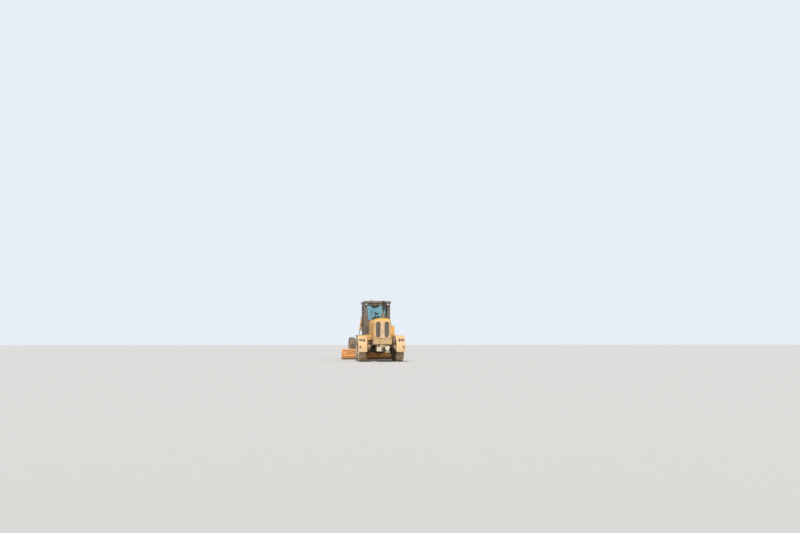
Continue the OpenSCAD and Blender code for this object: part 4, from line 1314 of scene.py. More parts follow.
@dataclass
class Wheels(Assembly):
    """The six wheels: tyres with chevron lugs, and the fittings of their rims.

    Each of lug_stations is a place across the tyre with the radii of the lug's top and base; each of
    sidewall is a radius and a place across it.
    """

    half_width: float = 0.1875
    lugs: int = 18
    lead: float = math.radians(10.0)
    lag: float = math.radians(4.2)
    top_half: float = math.radians(3.9)
    base_half: float = math.radians(6.4)
    lug_round: float = 0.012
    lug_stations: tuple[Colour, ...] = (
        (0.0, 0.670, 0.622), (0.05, 0.670, 0.622), (0.10, 0.669, 0.620), (0.135, 0.667, 0.615),
        (0.158, 0.659, 0.602), (0.174, 0.640, 0.590), (0.184, 0.612, 0.575), (0.187, 0.585, 0.560))
    sidewall: tuple[Pair, ...] = (
        (0.3055, 0.132), (0.318, 0.150), (0.345, 0.163), (0.352, 0.172), (0.362, 0.170), (0.40, 0.178),
        (0.46, 0.184), (0.50, 0.1855), (0.535, 0.1845), (0.541, 0.1875), (0.549, 0.1875), (0.555, 0.183),
        (0.585, 0.176), (0.608, 0.162), (0.624, 0.140), (0.631, 0.105), (0.632, 0.05))
    groove_r: float = 0.632
    drive_disc: float = 0.044
    front_disc: float = 0.064
    hub_end: float = 0.1
    nut_circle: float = 0.19
    valve_circle: float = 0.262

    def carcass(self) -> Shaper:
        """Builds a tyre without its lugs, about the X axis at the origin.

        Returns:
            The shapes.
        """
        side = [(r, -x) for r, x in self.sidewall]
        profile = [*side, (self.groove_r, 0.0), *((r, -x) for r, x in reversed(side))]
        return Shaper().revolve(Axis.X, (0, 0, 0), profile, 72)

    def tread(self) -> Shaper:
        """Builds one chevron lug and repeats it round the tyre.

        Returns:
            The shapes.
        """
        part = bmesh.new()
        left = [(-x, top, base) for x, top, base in reversed(self.lug_stations[1:])]
        rows = []
        for x, top, base in (*left, *self.lug_stations):
            middle = self.lead * (1 - abs(x) / self.half_width) + self.lag
            shoulder, soft = top - self.lug_round, self.lug_round / 2
            half = ((base, self.base_half), (shoulder, self.top_half + 2 * soft), (top, self.top_half - soft))
            section = [*((r, -off) for r, off in half), *reversed(half)]
            rows.append([part.verts.new((x, r * math.sin(middle + off), r * math.cos(middle + off)))
                         for r, off in section])
        skin(part, rows)
        return self.ring(Shaper(), Shaper().add(part), self.lugs, axis=Axis.X)

    def fittings(self, disc: float) -> Shaper:
        """Builds the nuts, hub bolts, valve and lock ring on a rim's outer side, about the X axis.

        Args:
            disc: How far the disc's outer face stands out of the wheel's middle plane.

        Returns:
            The shapes.
        """
        end = self.hub_end
        nut = self.bolt(Axis.X, (disc, 0, self.nut_circle), 0.019)
        nut.rod(Axis.X, 0.009, (disc + 0.018, 0, self.nut_circle), 0.018, 10, 0.002)
        shapes = self.ring(Shaper(), nut, 10, axis=Axis.X)
        self.bolt_ring(shapes, Axis.X, (end, 0, 0), 0.098, 8, 0.011)
        cap = ((0.078, -0.001), (0.078, 0.009), (0.07, 0.009), (0.0725, 0.002), (0.0725, -0.001))
        shapes.revolve(Axis.X, (end, 0, 0), cap, 40)
        shapes.rod(Axis.X, 0.007, (disc - 0.002, 0.0, self.valve_circle), 0.06, 8, 0.002)
        lock = ((0.266, -0.001), (0.266, 0.014), (0.278, 0.02), (0.2865, 0.02), (0.2865, -0.001))
        return shapes.revolve(Axis.X, (disc, 0, 0), lock, 64)

    def build(self) -> None:
        """Builds all six wheels."""
        carcass, tread = self.carcass(), self.tread()
        drive, front = self.fittings(self.drive_disc), self.fittings(self.front_disc)
        for place, walls, lugs, rims, finish in (("rear", SIDEWALL_GROOVE_SHADE, TREAD, drive, LOW_YELLOW),
                                                 ("mid", SIDEWALL_GROOVE_SHADE, TREAD, drive, LOW_YELLOW),
                                                 ("front", FRONT_TYRE, FRONT_TYRE, front, STEEL)):
            for side, s in SIDES:
                name, body = f"tyre_{place}_{side}", f"wheel_{place}_{side}"
                low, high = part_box(name)
                where = Matrix.Translation((low + high) / 2) @ Matrix.Scale(s, 4, (1, 0, 0))
                self.shop.put(carcass.copied(where), f"{name}_carcass", body, walls, [name])
                self.shop.put(tread.copied(where), f"{name}_lugs", body, lugs, smooth=42.0)
                self.shop.put(rims.copied(where), f"rim_{place}_{side}_nuts", body, finish)


@dataclass
class EngineHood(Assembly):
    """The hood's grille door with two tall slots, its frame, bands, latches, caps and exhaust fittings."""

    rear_y: float = -4.15
    half_width: float = 0.47
    top: float = 2.32
    corner: float = 0.26
    base: float = 1.19
    door_t: float = 0.04
    door_half: float = 0.42
    door_z: Pair = (1.25, 2.20)
    slot_x: float = 0.23
    slot_half: float = 0.12
    slot_z: Pair = (1.31, 2.14)
    slot_raise: float = 0.016
    fins: int = 26
    fin_step: float = 0.0315
    hinge: Pair = (-0.44, -4.20)
    hinge_z: Pair = (1.37, 2.02)
    handle_z: float = 1.60
    latch_y: Pair = (-3.45, -2.28)
    latch_z: float = 1.54
    band_y: tuple[Pair, ...] = ((-4.152, -4.06), (-1.66, -1.60))
    seam_y: tuple[Pair, ...] = ((-3.79, -3.782), (-1.945, -1.937))
    stack: Pair = (0.24, -2.60)
    neck_z: float = 2.615
    clamp_z: tuple[float, ...] = (2.815, 3.05, 3.28)
    guard_z: tuple[float, ...] = (2.84, 3.04, 3.235)
    guard_r: float = 0.079

    def build(self) -> None:
        """Builds the door, the fins behind its slots, the bands and the small fittings."""
        self.build_door()
        self.build_rear_frame()
        self.build_fins()
        self.build_bands()
        self.build_side_fittings()
        self.build_top_fittings()
        self.build_exhaust()

    def slots(self, grow: float = 0.0) -> list[list[Pair]]:
        """Draws the two tall slots with round ends, grown outwards.

        Args:
            grow: How far they are grown.

        Returns:
            The outlines.
        """
        low, high, r = self.slot_z[0] + self.slot_half, self.slot_z[1] - self.slot_half, self.slot_half + grow
        return [arc((x, high), r, 0.0, math.pi, 12) + arc((x, low), r, math.pi, math.pi, 12)
                for x in (-self.slot_x, self.slot_x)]

    def door_outline(self, inset: float, radius: float) -> list[Pair]:
        """Returns the door's outline, drawn in."""
        return round_rectangle((inset - self.door_half, self.door_z[0] + inset),
                               (self.door_half - inset, self.door_z[1] - inset), radius)

    def build_door(self) -> None:
        """Builds the grille door with its slots, their raised frames, its handle and hinge eyes."""
        back, front = self.rear_y - self.door_t - 0.001, self.rear_y - 0.001
        door = Shaper().plate(Axis.Y, [self.door_outline(0.0, 0.06), *self.slots()], back + 0.006, front)
        door.plate(Axis.Y, [self.door_outline(0.03, 0.045), *self.slots(0.03)], back - 0.003, back + 0.008)
        for rim, hole in zip(self.slots(self.slot_raise), self.slots()):
            door.plate(Axis.Y, [rim, hole], back - 0.010, back + 0.010)
        (x, y), z = self.hinge, self.handle_z
        for low in self.hinge_z:
            door.rod(Axis.Z, 0.016, (x, y, low), 0.06, 20, 0.002)
            door.box((x, y - 0.014, low), (0.06 - self.door_half, back + 0.006, low + 0.06), 0.003)
        door.box((-0.045, back - 0.014, z - 0.04), (0.045, back + 0.002, z + 0.04))
        self.shop.put(door, "grille_door_panel", "rear_door", FADED_YELLOW, ["grille_door"])
        handle = Shaper().staple((-0.03, back - 0.014, z), (0, -0.026, 0), (0.06, 0, 0), 0.007, 0.012)
        self.bolts(handle, Axis.Y, (0.375, back - 0.003, 1.30), 4, (0, 0, 0.27), 0.01, -1.0)
        self.shop.put(handle, "grille_door_handle", "rear_door", BLACK)

    def build_rear_frame(self) -> None:
        """Builds the pressed frame that closes the hood's rear round the grille door."""
        inset = 0.012
        w, top, r = self.half_width - inset, self.top - inset, self.corner - inset
        outline = [(w, self.base)]
        for s, start in ((1, 0.0), (-1, math.pi / 2)):
            outline += arc((s * (w - r), top - r), r, start, math.pi / 2, 12)
        outline.append((-w, self.base))
        outlines = [outline, self.door_outline(0.03, 0.04)]
        frame = Shaper().plate(Axis.Y, outlines, self.rear_y, self.rear_y + 0.02, 0.003)
        self.shop.put(frame, "hood_rear_frame", "rear", DUSTY_YELLOW)

    def build_fins(self) -> None:
        """Builds the slanting fins and the upright bar behind each slot."""
        y, (low, high), half = self.rear_y - 0.001, self.slot_z, self.slot_half + 0.004
        section = [(y - 0.022, low + 0.008), (y - 0.016, low + 0.008), (y - 0.006, low + 0.028),
                   (y - 0.012, low + 0.028)]
        fins = Shaper()
        for x in (-self.slot_x, self.slot_x):
            fin = Shaper().prism(Axis.X, section, x - half, x + half, 0.0)
            self.row(fins, fin, self.fins, (0, 0, self.fin_step))
            fins.box((x - 0.006, y - 0.026, low - 0.01), (x + 0.006, y - 0.008, high + 0.01), 0.002)
        self.shop.put(fins, "grille_door_fins", "rear_door", BLACK)

    def build_bands(self) -> None:
        """Builds the hood's raised bands, at its rear edge and ahead of the side doors, and its seams."""
        for name, places, heights, finish in (("hood_bands", self.band_y, (0.007, 0.005), CLEAN_YELLOW),
                                              ("hood_seams", self.seam_y, (0.002, 0.002), DARK_STEEL)):
            bands = Shaper()
            for (start, end), height in zip(places, heights):
                self.arch(bands, start, end, height)
            self.shop.put(bands, name, "rear", finish)

    def arch(self, into: Shaper, start: float, end: float, height: float) -> None:
        """Adds a raised band over the hood's top and sides.

        Args:
            into: Where it is added.
            start: Where it starts along the machine.
            end: Where it ends.
            height: How far it stands out.
        """
        w, top, r = self.half_width, self.top, self.corner
        path = [(w, self.base), *arc((w - r, top - r), r, 0.0, math.pi / 2, 14)]
        path += [(-a, b) for a, b in reversed(path)]
        part = bmesh.new()
        rows = []
        for place, (a, b) in enumerate(path):
            before, after = path[max(place - 1, 0)], path[min(place + 1, len(path) - 1)]
            out = Vector((after[1] - before[1], before[0] - after[0])).normalized()
            corners = ((-0.002, start), (height, start), (height, end), (-0.002, end))
            rows.append([part.verts.new((a + out.x * k, y, b + out.y * k)) for k, y in corners])
        skin(part, rows)
        into.add(part)

    def build_side_fittings(self) -> None:
        """Builds the side doors' latches."""
        for side, s in SIDES:
            latch, z = Shaper(), self.latch_z
            near, far = sorted((s * 0.4935, s * 0.5035))
            for y in self.latch_y:
                latch.box((near, y - 0.03, z - 0.02), (far, y + 0.03, z + 0.02), 0.003)
                latch.tube([(s * 0.4985, y - 0.02, z), (s * 0.5155, y - 0.015, z), (s * 0.5155, y + 0.015, z),
                            (s * 0.4985, y + 0.02, z)], 0.004, 6, 0.006)
            self.shop.put(latch, f"side_door_{side}_latches", f"side_door_{side}", BLACK)

    def build_top_fittings(self) -> None:
        """Builds the filler caps and the lifting eyes on the hood's top."""
        caps, top = Shaper(), self.top
        for x, y, r in ((-0.2, -3.3, 0.055), (0.05, -2.05, 0.04)):
            profile = ((POLE, -0.002), (r + 0.02, -0.002), (r + 0.02, 0.006), (r, 0.008), (r - 0.004, 0.034),
                       (r - 0.014, 0.042), (POLE, 0.042))
            caps.revolve(Axis.Z, (x, y, top), profile, 28)
        for x in (-0.16, 0.16):
            for y in (-3.95, -1.85):
                caps.staple((x, y - 0.03, top - 0.003), (0, 0, 0.043), (0, 0.06, 0), 0.009, 0.03)
        self.shop.put(caps, "hood_caps", "rear", BLACK)

    def build_exhaust(self) -> None:
        """Builds the exhaust's flange, its clamps and the slotted heat guard that they carry."""
        (x, y), neck, r = self.stack, self.neck_z, self.guard_r
        flange = ((0.036, 0), (0.082, 0), (0.082, 0.013), (0.06, 0.025), (0.036, 0.035))
        pipe = Shaper().revolve(Axis.Z, (x, y, neck), flange, 32)
        for z in self.clamp_z:
            pipe.revolve(Axis.Z, (x, y, z), ((0.054, 0), (0.0605, 0), (0.0605, 0.02), (0.054, 0.02)), 32)
            pipe.box((x + 0.052, y - 0.01, z), (x + 0.078, y + 0.01, z + 0.02), 0.003)
        self.bolt_ring(pipe, Axis.Z, (x, y, neck + 0.013), 0.07, 6, 0.008)
        self.shop.put(pipe, "exhaust_clamps", "rear", RUSTY_STEEL)
        guard = Shaper()
        for z in self.guard_z:
            guard.revolve(Axis.Z, (x, y, z), ((r - 0.006, 0), (r, 0), (r, 0.03), (r - 0.006, 0.03)), 40)
        slat = Shaper().box((x + r - 0.0055, y - 0.008, self.guard_z[0] + 0.01),
                            (x + r - 0.0015, y + 0.008, self.guard_z[-1] + 0.02), 0.001)
        self.ring(guard, slat, 20, (x, y, 0))
        self.shop.put(guard, "exhaust_guard", "rear", EXHAUST_BLACK)


@dataclass
class RearEnd(Assembly):
    """The guards' lips, stays and lamps, the bumper's fittings, plates, belly guards and the boxes' lids."""

    guard_middle: Pair = (-3.21, 0.67)
    guard_r: float = 0.742
    guard_x: Pair = (0.80, 1.26)
    guard_low: float = 0.54
    guard_front: float = -3.27
    stay_turns: Pair = (math.radians(8), math.radians(60))
    lamp_y: float = -3.836
    lamps: tuple[tuple[str, float, Colour], ...] = (
        ("stop_lenses", 0.912, srgb(150, 34, 26)), ("turn_lenses", 0.951, srgb(214, 120, 40)))
    housings: tuple[tuple[float, ...], ...] = (
        (1.075, 1.15, 0.035, 0.09), (1.175, 1.15, 0.035, 0.09), (1.165, 0.80, 0.04, 0.06))
    bumper_y: float = -4.30
    pin_y: float = -4.34
    plate_x: Pair = (-0.31, -0.04)
    plate_z: Pair = (0.57, 0.79)
    cup_x: Pair = (0.12, 0.39)
    cup_z: Pair = (0.52, 0.84)
    hanger_top: float = 0.96
    box_y: tuple[Pair, ...] = ((-3.04, -2.61), (-2.59, -2.16))
    tank: Pair = (0.815, -1.71)
    strap_sides: tuple[tuple[float, ...], ...] = (
        (0.684, 0.692, 1.445, 1.944), (0.94, 0.953, 1.445, 1.944), (0.684, 0.953, 1.936, 1.946))

    def build(self) -> None:
        """Builds every fitting of the machine's rear end."""
        self.build_guards()
        self.build_tail_lamps()
        self.build_bumper()
        self.build_plates()
        self.build_belly()
        self.build_boxes()

    def guard_point(self, x: float, turn: float, r: float) -> Point:
        """Returns a point at X on a circle about the rear wheel."""
        return x, self.guard_middle[0] - r * math.cos(turn), self.guard_middle[1] + r * math.sin(turn)

    def build_guards(self) -> None:
        """Builds the rolled lips round each guard, the ribs over it and its stays."""
        (x0, x1), r = self.guard_x, self.guard_r
        low = -math.asin((self.guard_middle[1] - self.guard_low) / r)
        high = math.acos((self.guard_middle[0] - self.guard_front) / r)
        turns = [low + (high - low) * k / 28 for k in range(29)]
        rim = [(x0, t) for t in turns] + [(x1, t) for t in reversed(turns)] + [(x0, low)]
        lips = Shaper().tube([self.guard_point(x, t, r - 0.004) for x, t in rim], 0.013, 8, 0.012)
        for x in (x0 + 0.12, x1 - 0.12):
            lips.tube([self.guard_point(x, t, r + 0.001) for t in turns[3:-2]], 0.008, 6, 0.01)
        self.shop.put(lips.mirrored(), "guard_lips", "rear", GUARD_YELLOW)
        stays = Shaper()
        for turn in self.stay_turns:
            bend = Vector(self.guard_point(x0 - 0.05, turn, r + 0.02))
            stays.tube([self.guard_point(x0 + 0.03, turn, r - 0.02), bend, (0.62, bend.y + 0.1, bend.z),
                        (0.42, bend.y + 0.14, 1.12)], 0.016, 8, 0.05)
        self.shop.put(stays.mirrored(), "guard_stays", "rear", DARK_STEEL)

    def build_tail_lamps(self) -> None:
        """Builds the dark lamp housings on each guard's rear, and the lenses of the lamps beside them."""
        dark = Shaper()
        for x, z, w, h in self.housings:
            y = self.guard_middle[0] - math.sqrt(self.guard_r ** 2 - (z - self.guard_middle[1]) ** 2)
            dark.prism(Axis.Y, round_rectangle((x - w, z - h), (x + w, z + h), w * 0.9), y - 0.035, y + 0.05)
        self.shop.put(dark.mirrored(), "guard_lamp_housings", "rear", BLACK)
        for name, x, colour in self.lamps:
            low, high = (x, self.lamp_y - 0.012, 1.128), (x + 0.037, self.lamp_y + 0.01, 1.232)
            self.shop.put_lens(Shaper().box(low, high, 0.006).mirrored(), name, "rear", colour)

    def build_bumper(self) -> None:
        """Builds the bumper's bolts and ribs, and the tow pin with its handle."""
        y, pin_y = self.bumper_y, self.pin_y
        metal = Shaper()
        for z in (1.17, 1.01):
            self.bolts(metal, Axis.Y, (-0.45, y, z), 4, (0.3, 0, 0), 0.02, -1.0)
        metal.rod(Axis.Z, 0.024, (0, pin_y, 0.55), 0.22, 20)
        metal.rod(Axis.Z, 0.036, (0, pin_y, 0.765), 0.014, 20)
        handle = [(0, 0.775), (0, 0.83), (0.05, 0.83), (0.05, 0.79)]
        metal.tube([Axis.Y.point(pin_y, pair) for pair in handle], 0.007, 8, 0.02)
        self.shop.put(metal, "tow_pin_and_bolts", "rear", STEEL)
        ribs = Shaper()
        for z in (0.965, 1.195):
            ribs.box((-0.46, y - 0.012, z), (0.46, y + 0.01, z + 0.02))
        for x in (-0.30, 0.0, 0.30):
            ribs.box((x - 0.012, y - 0.010, 0.98), (x + 0.012, y + 0.01, 1.20), 0.003)
        self.shop.put(ribs, "bumper_ribs", "rear", DUSTY_YELLOW)

    def build_plates(self) -> None:
        """Builds the blank plate and the tapered bracket with its bar, both hung below the bumper."""
        (x0, x1), (z0, z1) = self.plate_x, self.plate_z
        plate = Shaper().box((x0, -4.275, z0), (x1, -4.262, z1), 0.003)
        plate.box((x0, -4.281, z0 + 0.10), (x1, -4.262, z0 + 0.125), 0.003)
        for x in (x0 + 0.03, x1 - 0.06):
            plate.box((x, -4.264, z1 - 0.02), (x + 0.03, -4.20, self.hanger_top), 0.003)
        self.shop.put(plate, "blank_plate", "rear", PLATE_WHITE)
        (x0, x1), (z0, z1) = self.cup_x, self.cup_z
        outline = [(x0 + 0.05, z0 + 0.09), (x1 - 0.05, z0 + 0.09), (x1, z1), (x0, z1)]
        cup = Shaper().prism(Axis.Y, outline, -4.27, -4.17, 0.008)
        cup.box((x0 - 0.01, -4.28, z1 - 0.03), (x1 + 0.01, -4.16, z1), 0.006)
        cup.box((x0 + 0.02, -4.26, z0), (x1 + 0.02, -4.20, z0 + 0.035), 0.006)
        for x in (x0 + 0.08, x1 - 0.10):
            cup.box((x, -4.24, z0 + 0.03), (x + 0.02, -4.22, z0 + 0.10), 0.003)
            cup.box((x, -4.24, z1 - 0.01), (x + 0.03, -4.20, self.hanger_top), 0.003)
        self.shop.put(cup, "tapered_bracket", "rear", PLATE_WHITE)

    def build_belly(self) -> None:
        """Builds the final drive's gearbox and the guards below the rear frame."""
        section = [(-4.12, 0.88), (-4.10, 0.90), (-3.55, 0.90), (-3.55, 0.60), (-3.62, 0.60)]
        belly = Shaper().prism(Axis.X, section, -0.3, 0.3, 0.01)
        belly.box((-0.24, -3.4, 0.62), (0.24, -2.7, 0.98), 0.03)
        belly.box((-0.2, -2.1, 0.60), (0.2, -1.3, 0.95), 0.04)
        for y in (-3.36 + 0.11 * k for k in range(6)):
            belly.box((-0.255, y, 0.64), (0.255, y + 0.02, 0.97))
        self.shop.put(belly, "gearbox_and_guards", "rear", DARK_STEEL)

    def build_boxes(self) -> None:
        """Builds the side boxes' lids, hinges and latches, and the tank's panel, cap, straps and gauge."""
        lids, dark = Shaper(), Shaper()
        for y0, y1 in self.box_y:
            lids.box((0.705, y0, 1.20), (0.722, y1, 1.42), 0.006)
            lids.box((0.478, y0, 1.437), (0.714, y1, 1.452), 0.006)
            middle = (y0 + y1) / 2
            dark.box((0.72, middle - 0.04, 1.37), (0.733, middle + 0.04, 1.41))
            for y in (y0 + 0.08, y1 - 0.08):
                dark.rod(Axis.Y, 0.009, (0.722, y - 0.03, 1.215), 0.06, 12, 0.002)
        lids.mirrored()
        dark.mirrored()
        x, y = self.tank
        lids.box((0.936, y - 0.17, 1.50), (0.948, y + 0.17, 1.90), 0.01)
        cap = ((POLE, 0), (0.06, 0), (0.06, 0.012), (0.046, 0.017), (0.046, 0.047), (0.036, 0.054),
               (POLE, 0.054))
        dark.revolve(Axis.Z, (x, y, 1.938), cap, 28)
        for strap in (y - 0.12, y + 0.12):
            for x0, x1, z0, z1 in self.strap_sides:
                dark.box((x0, strap - 0.015, z0), (x1, strap + 0.015, z1), 0.002)
        dark.tube([(0.957, y, 1.55), (0.957, y, 1.85)], 0.012)
        self.shop.put(lids, "box_lids", "rear", DUSTY_YELLOW)
        self.shop.put(dark, "box_fittings", "rear", BLACK)


@dataclass
class Decks(Assembly):
    """The raised tread on the walkways, the toothed edges of the ladder steps and the decks' edges."""

    top: float = 1.44
    inner: float = 0.76
    rear_y: float = -1.50
    pitch: float = 0.05
    studs: tuple[int, int] = (6, 28)
    step_z: tuple[float, ...] = (0.52, 0.82, 1.12)

    def build(self) -> None:
        """Builds the tread, the step teeth and the deck edges."""
        stud, tread, edges = Shaper(), Shaper(), Shaper()
        for turn, shift in ((45, 0.0), (-45, self.pitch / 2)):
            where = Matrix.Translation((self.inner + shift, self.rear_y + shift, self.top))
            turned = where @ Matrix.Rotation(math.radians(turn), 4, "Z")
            stud.box((-0.016, -0.004, -0.002), (0.016, 0.004, 0.004), 0.0015, turned)
        line = self.row(Shaper(), stud, self.studs[0], (self.pitch, 0, 0))
        self.row(tread, line, self.studs[1], (0, self.pitch, 0))
        for z in self.step_z:
            section = [(0.915, z - 0.002), (0.935, z - 0.002), (0.925, z + 0.012)]
            self.row(tread, Shaper().prism(Axis.Y, section, -0.975, -0.665, 0.0), 7, (0.025, 0, 0))
        self.shop.put(tread.mirrored(), "deck_tread", "rear", STEEL)
        edges.box((1.088, -1.93, 1.372), (1.106, -0.05, 1.452))
        edges.box((0.78, -0.062, 1.372), (1.10, -0.048, 1.45))
        edges.box((0.74, -1.938, 1.372), (1.10, -1.924, 1.452))
        self.shop.put(edges.mirrored(), "deck_edges", "rear", DARK_STEEL)


@dataclass
class Cab(Assembly):
    """The cab's window rubber, roof panel, lamps, handles, wipers and inside fittings."""

    half: float = 0.742
    rear_y: float = -1.5
    front_y: float = -0.05
    floor: float = 1.50
    roof: float = 3.38
    rear_window: tuple[Pair, ...] = ((-0.51, 2.28), (0.51, 2.28), (0.60, 3.13), (-0.60, 3.13))
    front_window: tuple[Pair, ...] = ((-0.65, 1.75), (0.65, 1.75), (0.65, 3.18), (-0.65, 3.18))
    side_window: tuple[Pair, ...] = ((-0.29, 1.75), (-0.12, 1.75), (-0.12, 3.18), (-0.29, 3.18))
    door_window: tuple[Pair, ...] = ((-1.232, 1.69), (-0.418, 1.69), (-0.418, 3.08), (-1.232, 3.08))
    door_plates: tuple[tuple[float, ...], ...] = (
        (-0.008, -0.46, -0.385, 2.0, 2.14), (0.004, -1.18, -0.47, 1.55, 1.64))
    gutter: tuple[Pair, ...] = ((-0.785, -1.545), (0.785, -1.545), (0.785, 0.045), (-0.785, 0.045))
    gutter_z: float = 3.266
    beacon: Pair = (-0.30, -1.25)
    work_lamp: Pair = (0.62, 3.185)

    def build(self) -> None:
        """Builds everything that is added to the cab."""
        self.build_gaskets()
        self.build_wipers()
        self.build_roof()
        self.build_lamps()
        self.build_inside()
        self.build_doors()

    def build_gaskets(self) -> None:
        """Builds the rubber round each fixed window."""
        rubber = Shaper()
        for y in (self.rear_y - 0.003, self.rear_y + 0.063):
            rubber.loop([Axis.Y.point(y, pair) for pair in self.rear_window], 0.014)
        rubber.loop([Axis.Y.point(self.front_y + 0.003, pair) for pair in self.front_window], 0.013)
        for _, s in SIDES:
            rubber.loop([Axis.X.point(s * self.half, pair) for pair in self.side_window], 0.011)
        self.shop.put(rubber, "window_rubber", "rear", RUBBER)

    def build_wipers(self) -> None:
        """Builds the rear wiper with its motor cover, and the front one."""
        wiper, y = Shaper(), self.rear_y
        wiper.box((-0.06, y - 0.05, 3.15), (0.04, y - 0.001, 3.205), 0.008)
        wiper.tube([(-0.01, y - 0.045, 3.17), (-0.02, y - 0.05, 3.08), (-0.30, y - 0.035, 2.75)], 0.007, 8)
        wiper.tube([(-0.16, y - 0.028, 2.60), (-0.44, y - 0.028, 2.90)], 0.009, 8)
        y = self.front_y
        wiper.box((-0.09, y + 0.001, 3.185), (0.0, y + 0.045, 3.235), 0.008)
        wiper.tube([(-0.05, y + 0.04, 3.2), (-0.05, y + 0.045, 3.1), (-0.20, y + 0.03, 2.5)], 0.007, 8)
        wiper.tube([(-0.20, y + 0.02, 2.85), (-0.20, y + 0.02, 2.2)], 0.009, 8)
        self.shop.put(wiper, "wipers", "rear", BLACK)

    def build_roof(self) -> None:
        """Builds the roof's raised panel, its ribs and gutter, and the dark band over the rear window."""
        top = self.roof
        roof = Shaper().box((-0.62, -1.38, top - 0.004), (0.62, 0.0, top + 0.012), 0.006)
        rib = Shaper().box((-0.45, -1.34, top + 0.010), (-0.39, -0.04, top + 0.022), 0.005)
        self.row(roof, rib, 4, (0.28, 0, 0))
        roof.loop([(x, y, self.gutter_z) for x, y in self.gutter], 0.012)
        self.shop.put(roof, "roof_panel", "rear", CHARCOAL)
        band = Shaper().box((-0.73, self.rear_y - 0.006, 3.165), (0.73, self.rear_y + 0.002, 3.255), 0.002)
        self.shop.put(band, "rear_header", "rear", PLASTIC)

    def build_lamps(self) -> None:
        """Builds the work lamps' bezels and lenses, and the beacon's foot and dome."""
        bezel, clear, amber = Shaper(), Shaper(), Shaper()
        (side, z), y = self.work_lamp, self.rear_y - 0.09
        rim = ((0.05, -0.012), (0.064, -0.012), (0.064, 0.015), (0.05, 0.015))
        glass = ((POLE, -0.014), (0.03, -0.011), (0.052, -0.004), (0.052, 0.002), (POLE, 0.002))
        for x in (-side, side):
            bezel.revolve(Axis.Y, (x, y, z), rim, 32)
            bezel.tube([(x, y + 0.05, z + 0.05), (x, y + 0.06, z + 0.085)], 0.012, 8)
            clear.revolve(Axis.Y, (x, y, z), glass, 32)
        foot = ((POLE, -0.001), (0.07, -0.001), (0.07, 0.014), (0.055, 0.02), (POLE, 0.02))
        dome = ((POLE, 0.019), (0.053, 0.019), (0.054, 0.045), (0.048, 0.062), (0.03, 0.0695),
                (POLE, 0.0695))
        bezel.revolve(Axis.Z, (*self.beacon, self.roof), foot, 32)
        amber.revolve(Axis.Z, (*self.beacon, self.roof), dome, 32)
        self.shop.put(bezel, "lamp_bezels", "rear", BLACK)
        self.shop.put_lens(clear, "work_lamp_lenses", "rear", srgb(214, 214, 205))
        self.shop.put_lens(amber, "beacon_lens", "rear", srgb(226, 124, 36))

    def build_inside(self) -> None:
        """Builds the floor mat, the console over the windscreen, the lever pods, the dash and the pedals."""
        dark = Shaper().box((-0.62, -1.38, self.floor - 0.002), (0.62, -0.15, self.floor + 0.008), 0.003)
        console = [(-0.34, 3.16), (0.12, 3.16), (0.10, 3.07), (0.04, 3.01), (-0.04, 2.985), (-0.18, 2.985),
                   (-0.26, 3.01), (-0.32, 3.07)]
        dark.prism(Axis.Y, console, -1.40, -1.26, 0.008)
        dark.box((-0.30, -0.32, 2.10), (0.30, -0.17, 2.24), 0.02)
        pedal = [(-0.30, 1.53), (-0.28, 1.53), (-0.20, 1.66), (-0.22, 1.66)]
        for _, s in SIDES:
            x = s * 0.46
            dark.box((x - 0.10, -0.98, self.floor), (x + 0.10, -0.45, 1.96), 0.02)
            dark.box((x - 0.11, -1.10, 1.99), (x + 0.03, -0.72, 2.04), 0.015)
            lever = Shaper().tube([(x - 0.07, -0.62, 1.95), (x - 0.07, -0.58, 2.12)], 0.006, 8)
            knob = ((POLE, 0.0), (0.013, 0.002), (0.019, 0.03), (0.012, 0.055), (POLE, 0.06))
            self.row(dark, lever.revolve(Axis.Z, (x - 0.07, -0.58, 2.10), knob, 12), 5, (0.035, 0, 0))
            dark.prism(Axis.X, pedal, s * 0.18 - 0.05, s * 0.18 + 0.05)
        self.shop.put(dark, "cab_fittings", "rear", PLASTIC)

    def build_doors(self) -> None:
        """Builds each door's rubber, kick plate and handle."""
        for side, s in SIDES:
            out, body = s * self.half, f"cab_door_{side}"
            rubber = Shaper().loop([Axis.X.point(out, pair) for pair in self.door_window], 0.012)
            self.shop.put(rubber, f"door_{side}_rubber", body, RUBBER)
            handle = Shaper()
            for depth, y0, y1, z0, z1 in self.door_plates:
                near, far = sorted((out, out + s * depth))
                handle.box((near, y0, z0), (far, y1, z1), 0.002)
            grip = [(out, 2.02), (out + s * 0.033, 2.03), (out + s * 0.033, 2.11), (out, 2.12)]
            handle.tube([Axis.Y.point(-0.425, pair) for pair in grip], 0.008, 8, 0.015)
            self.shop.put(handle, f"door_{side}_handle", body, BLACK)


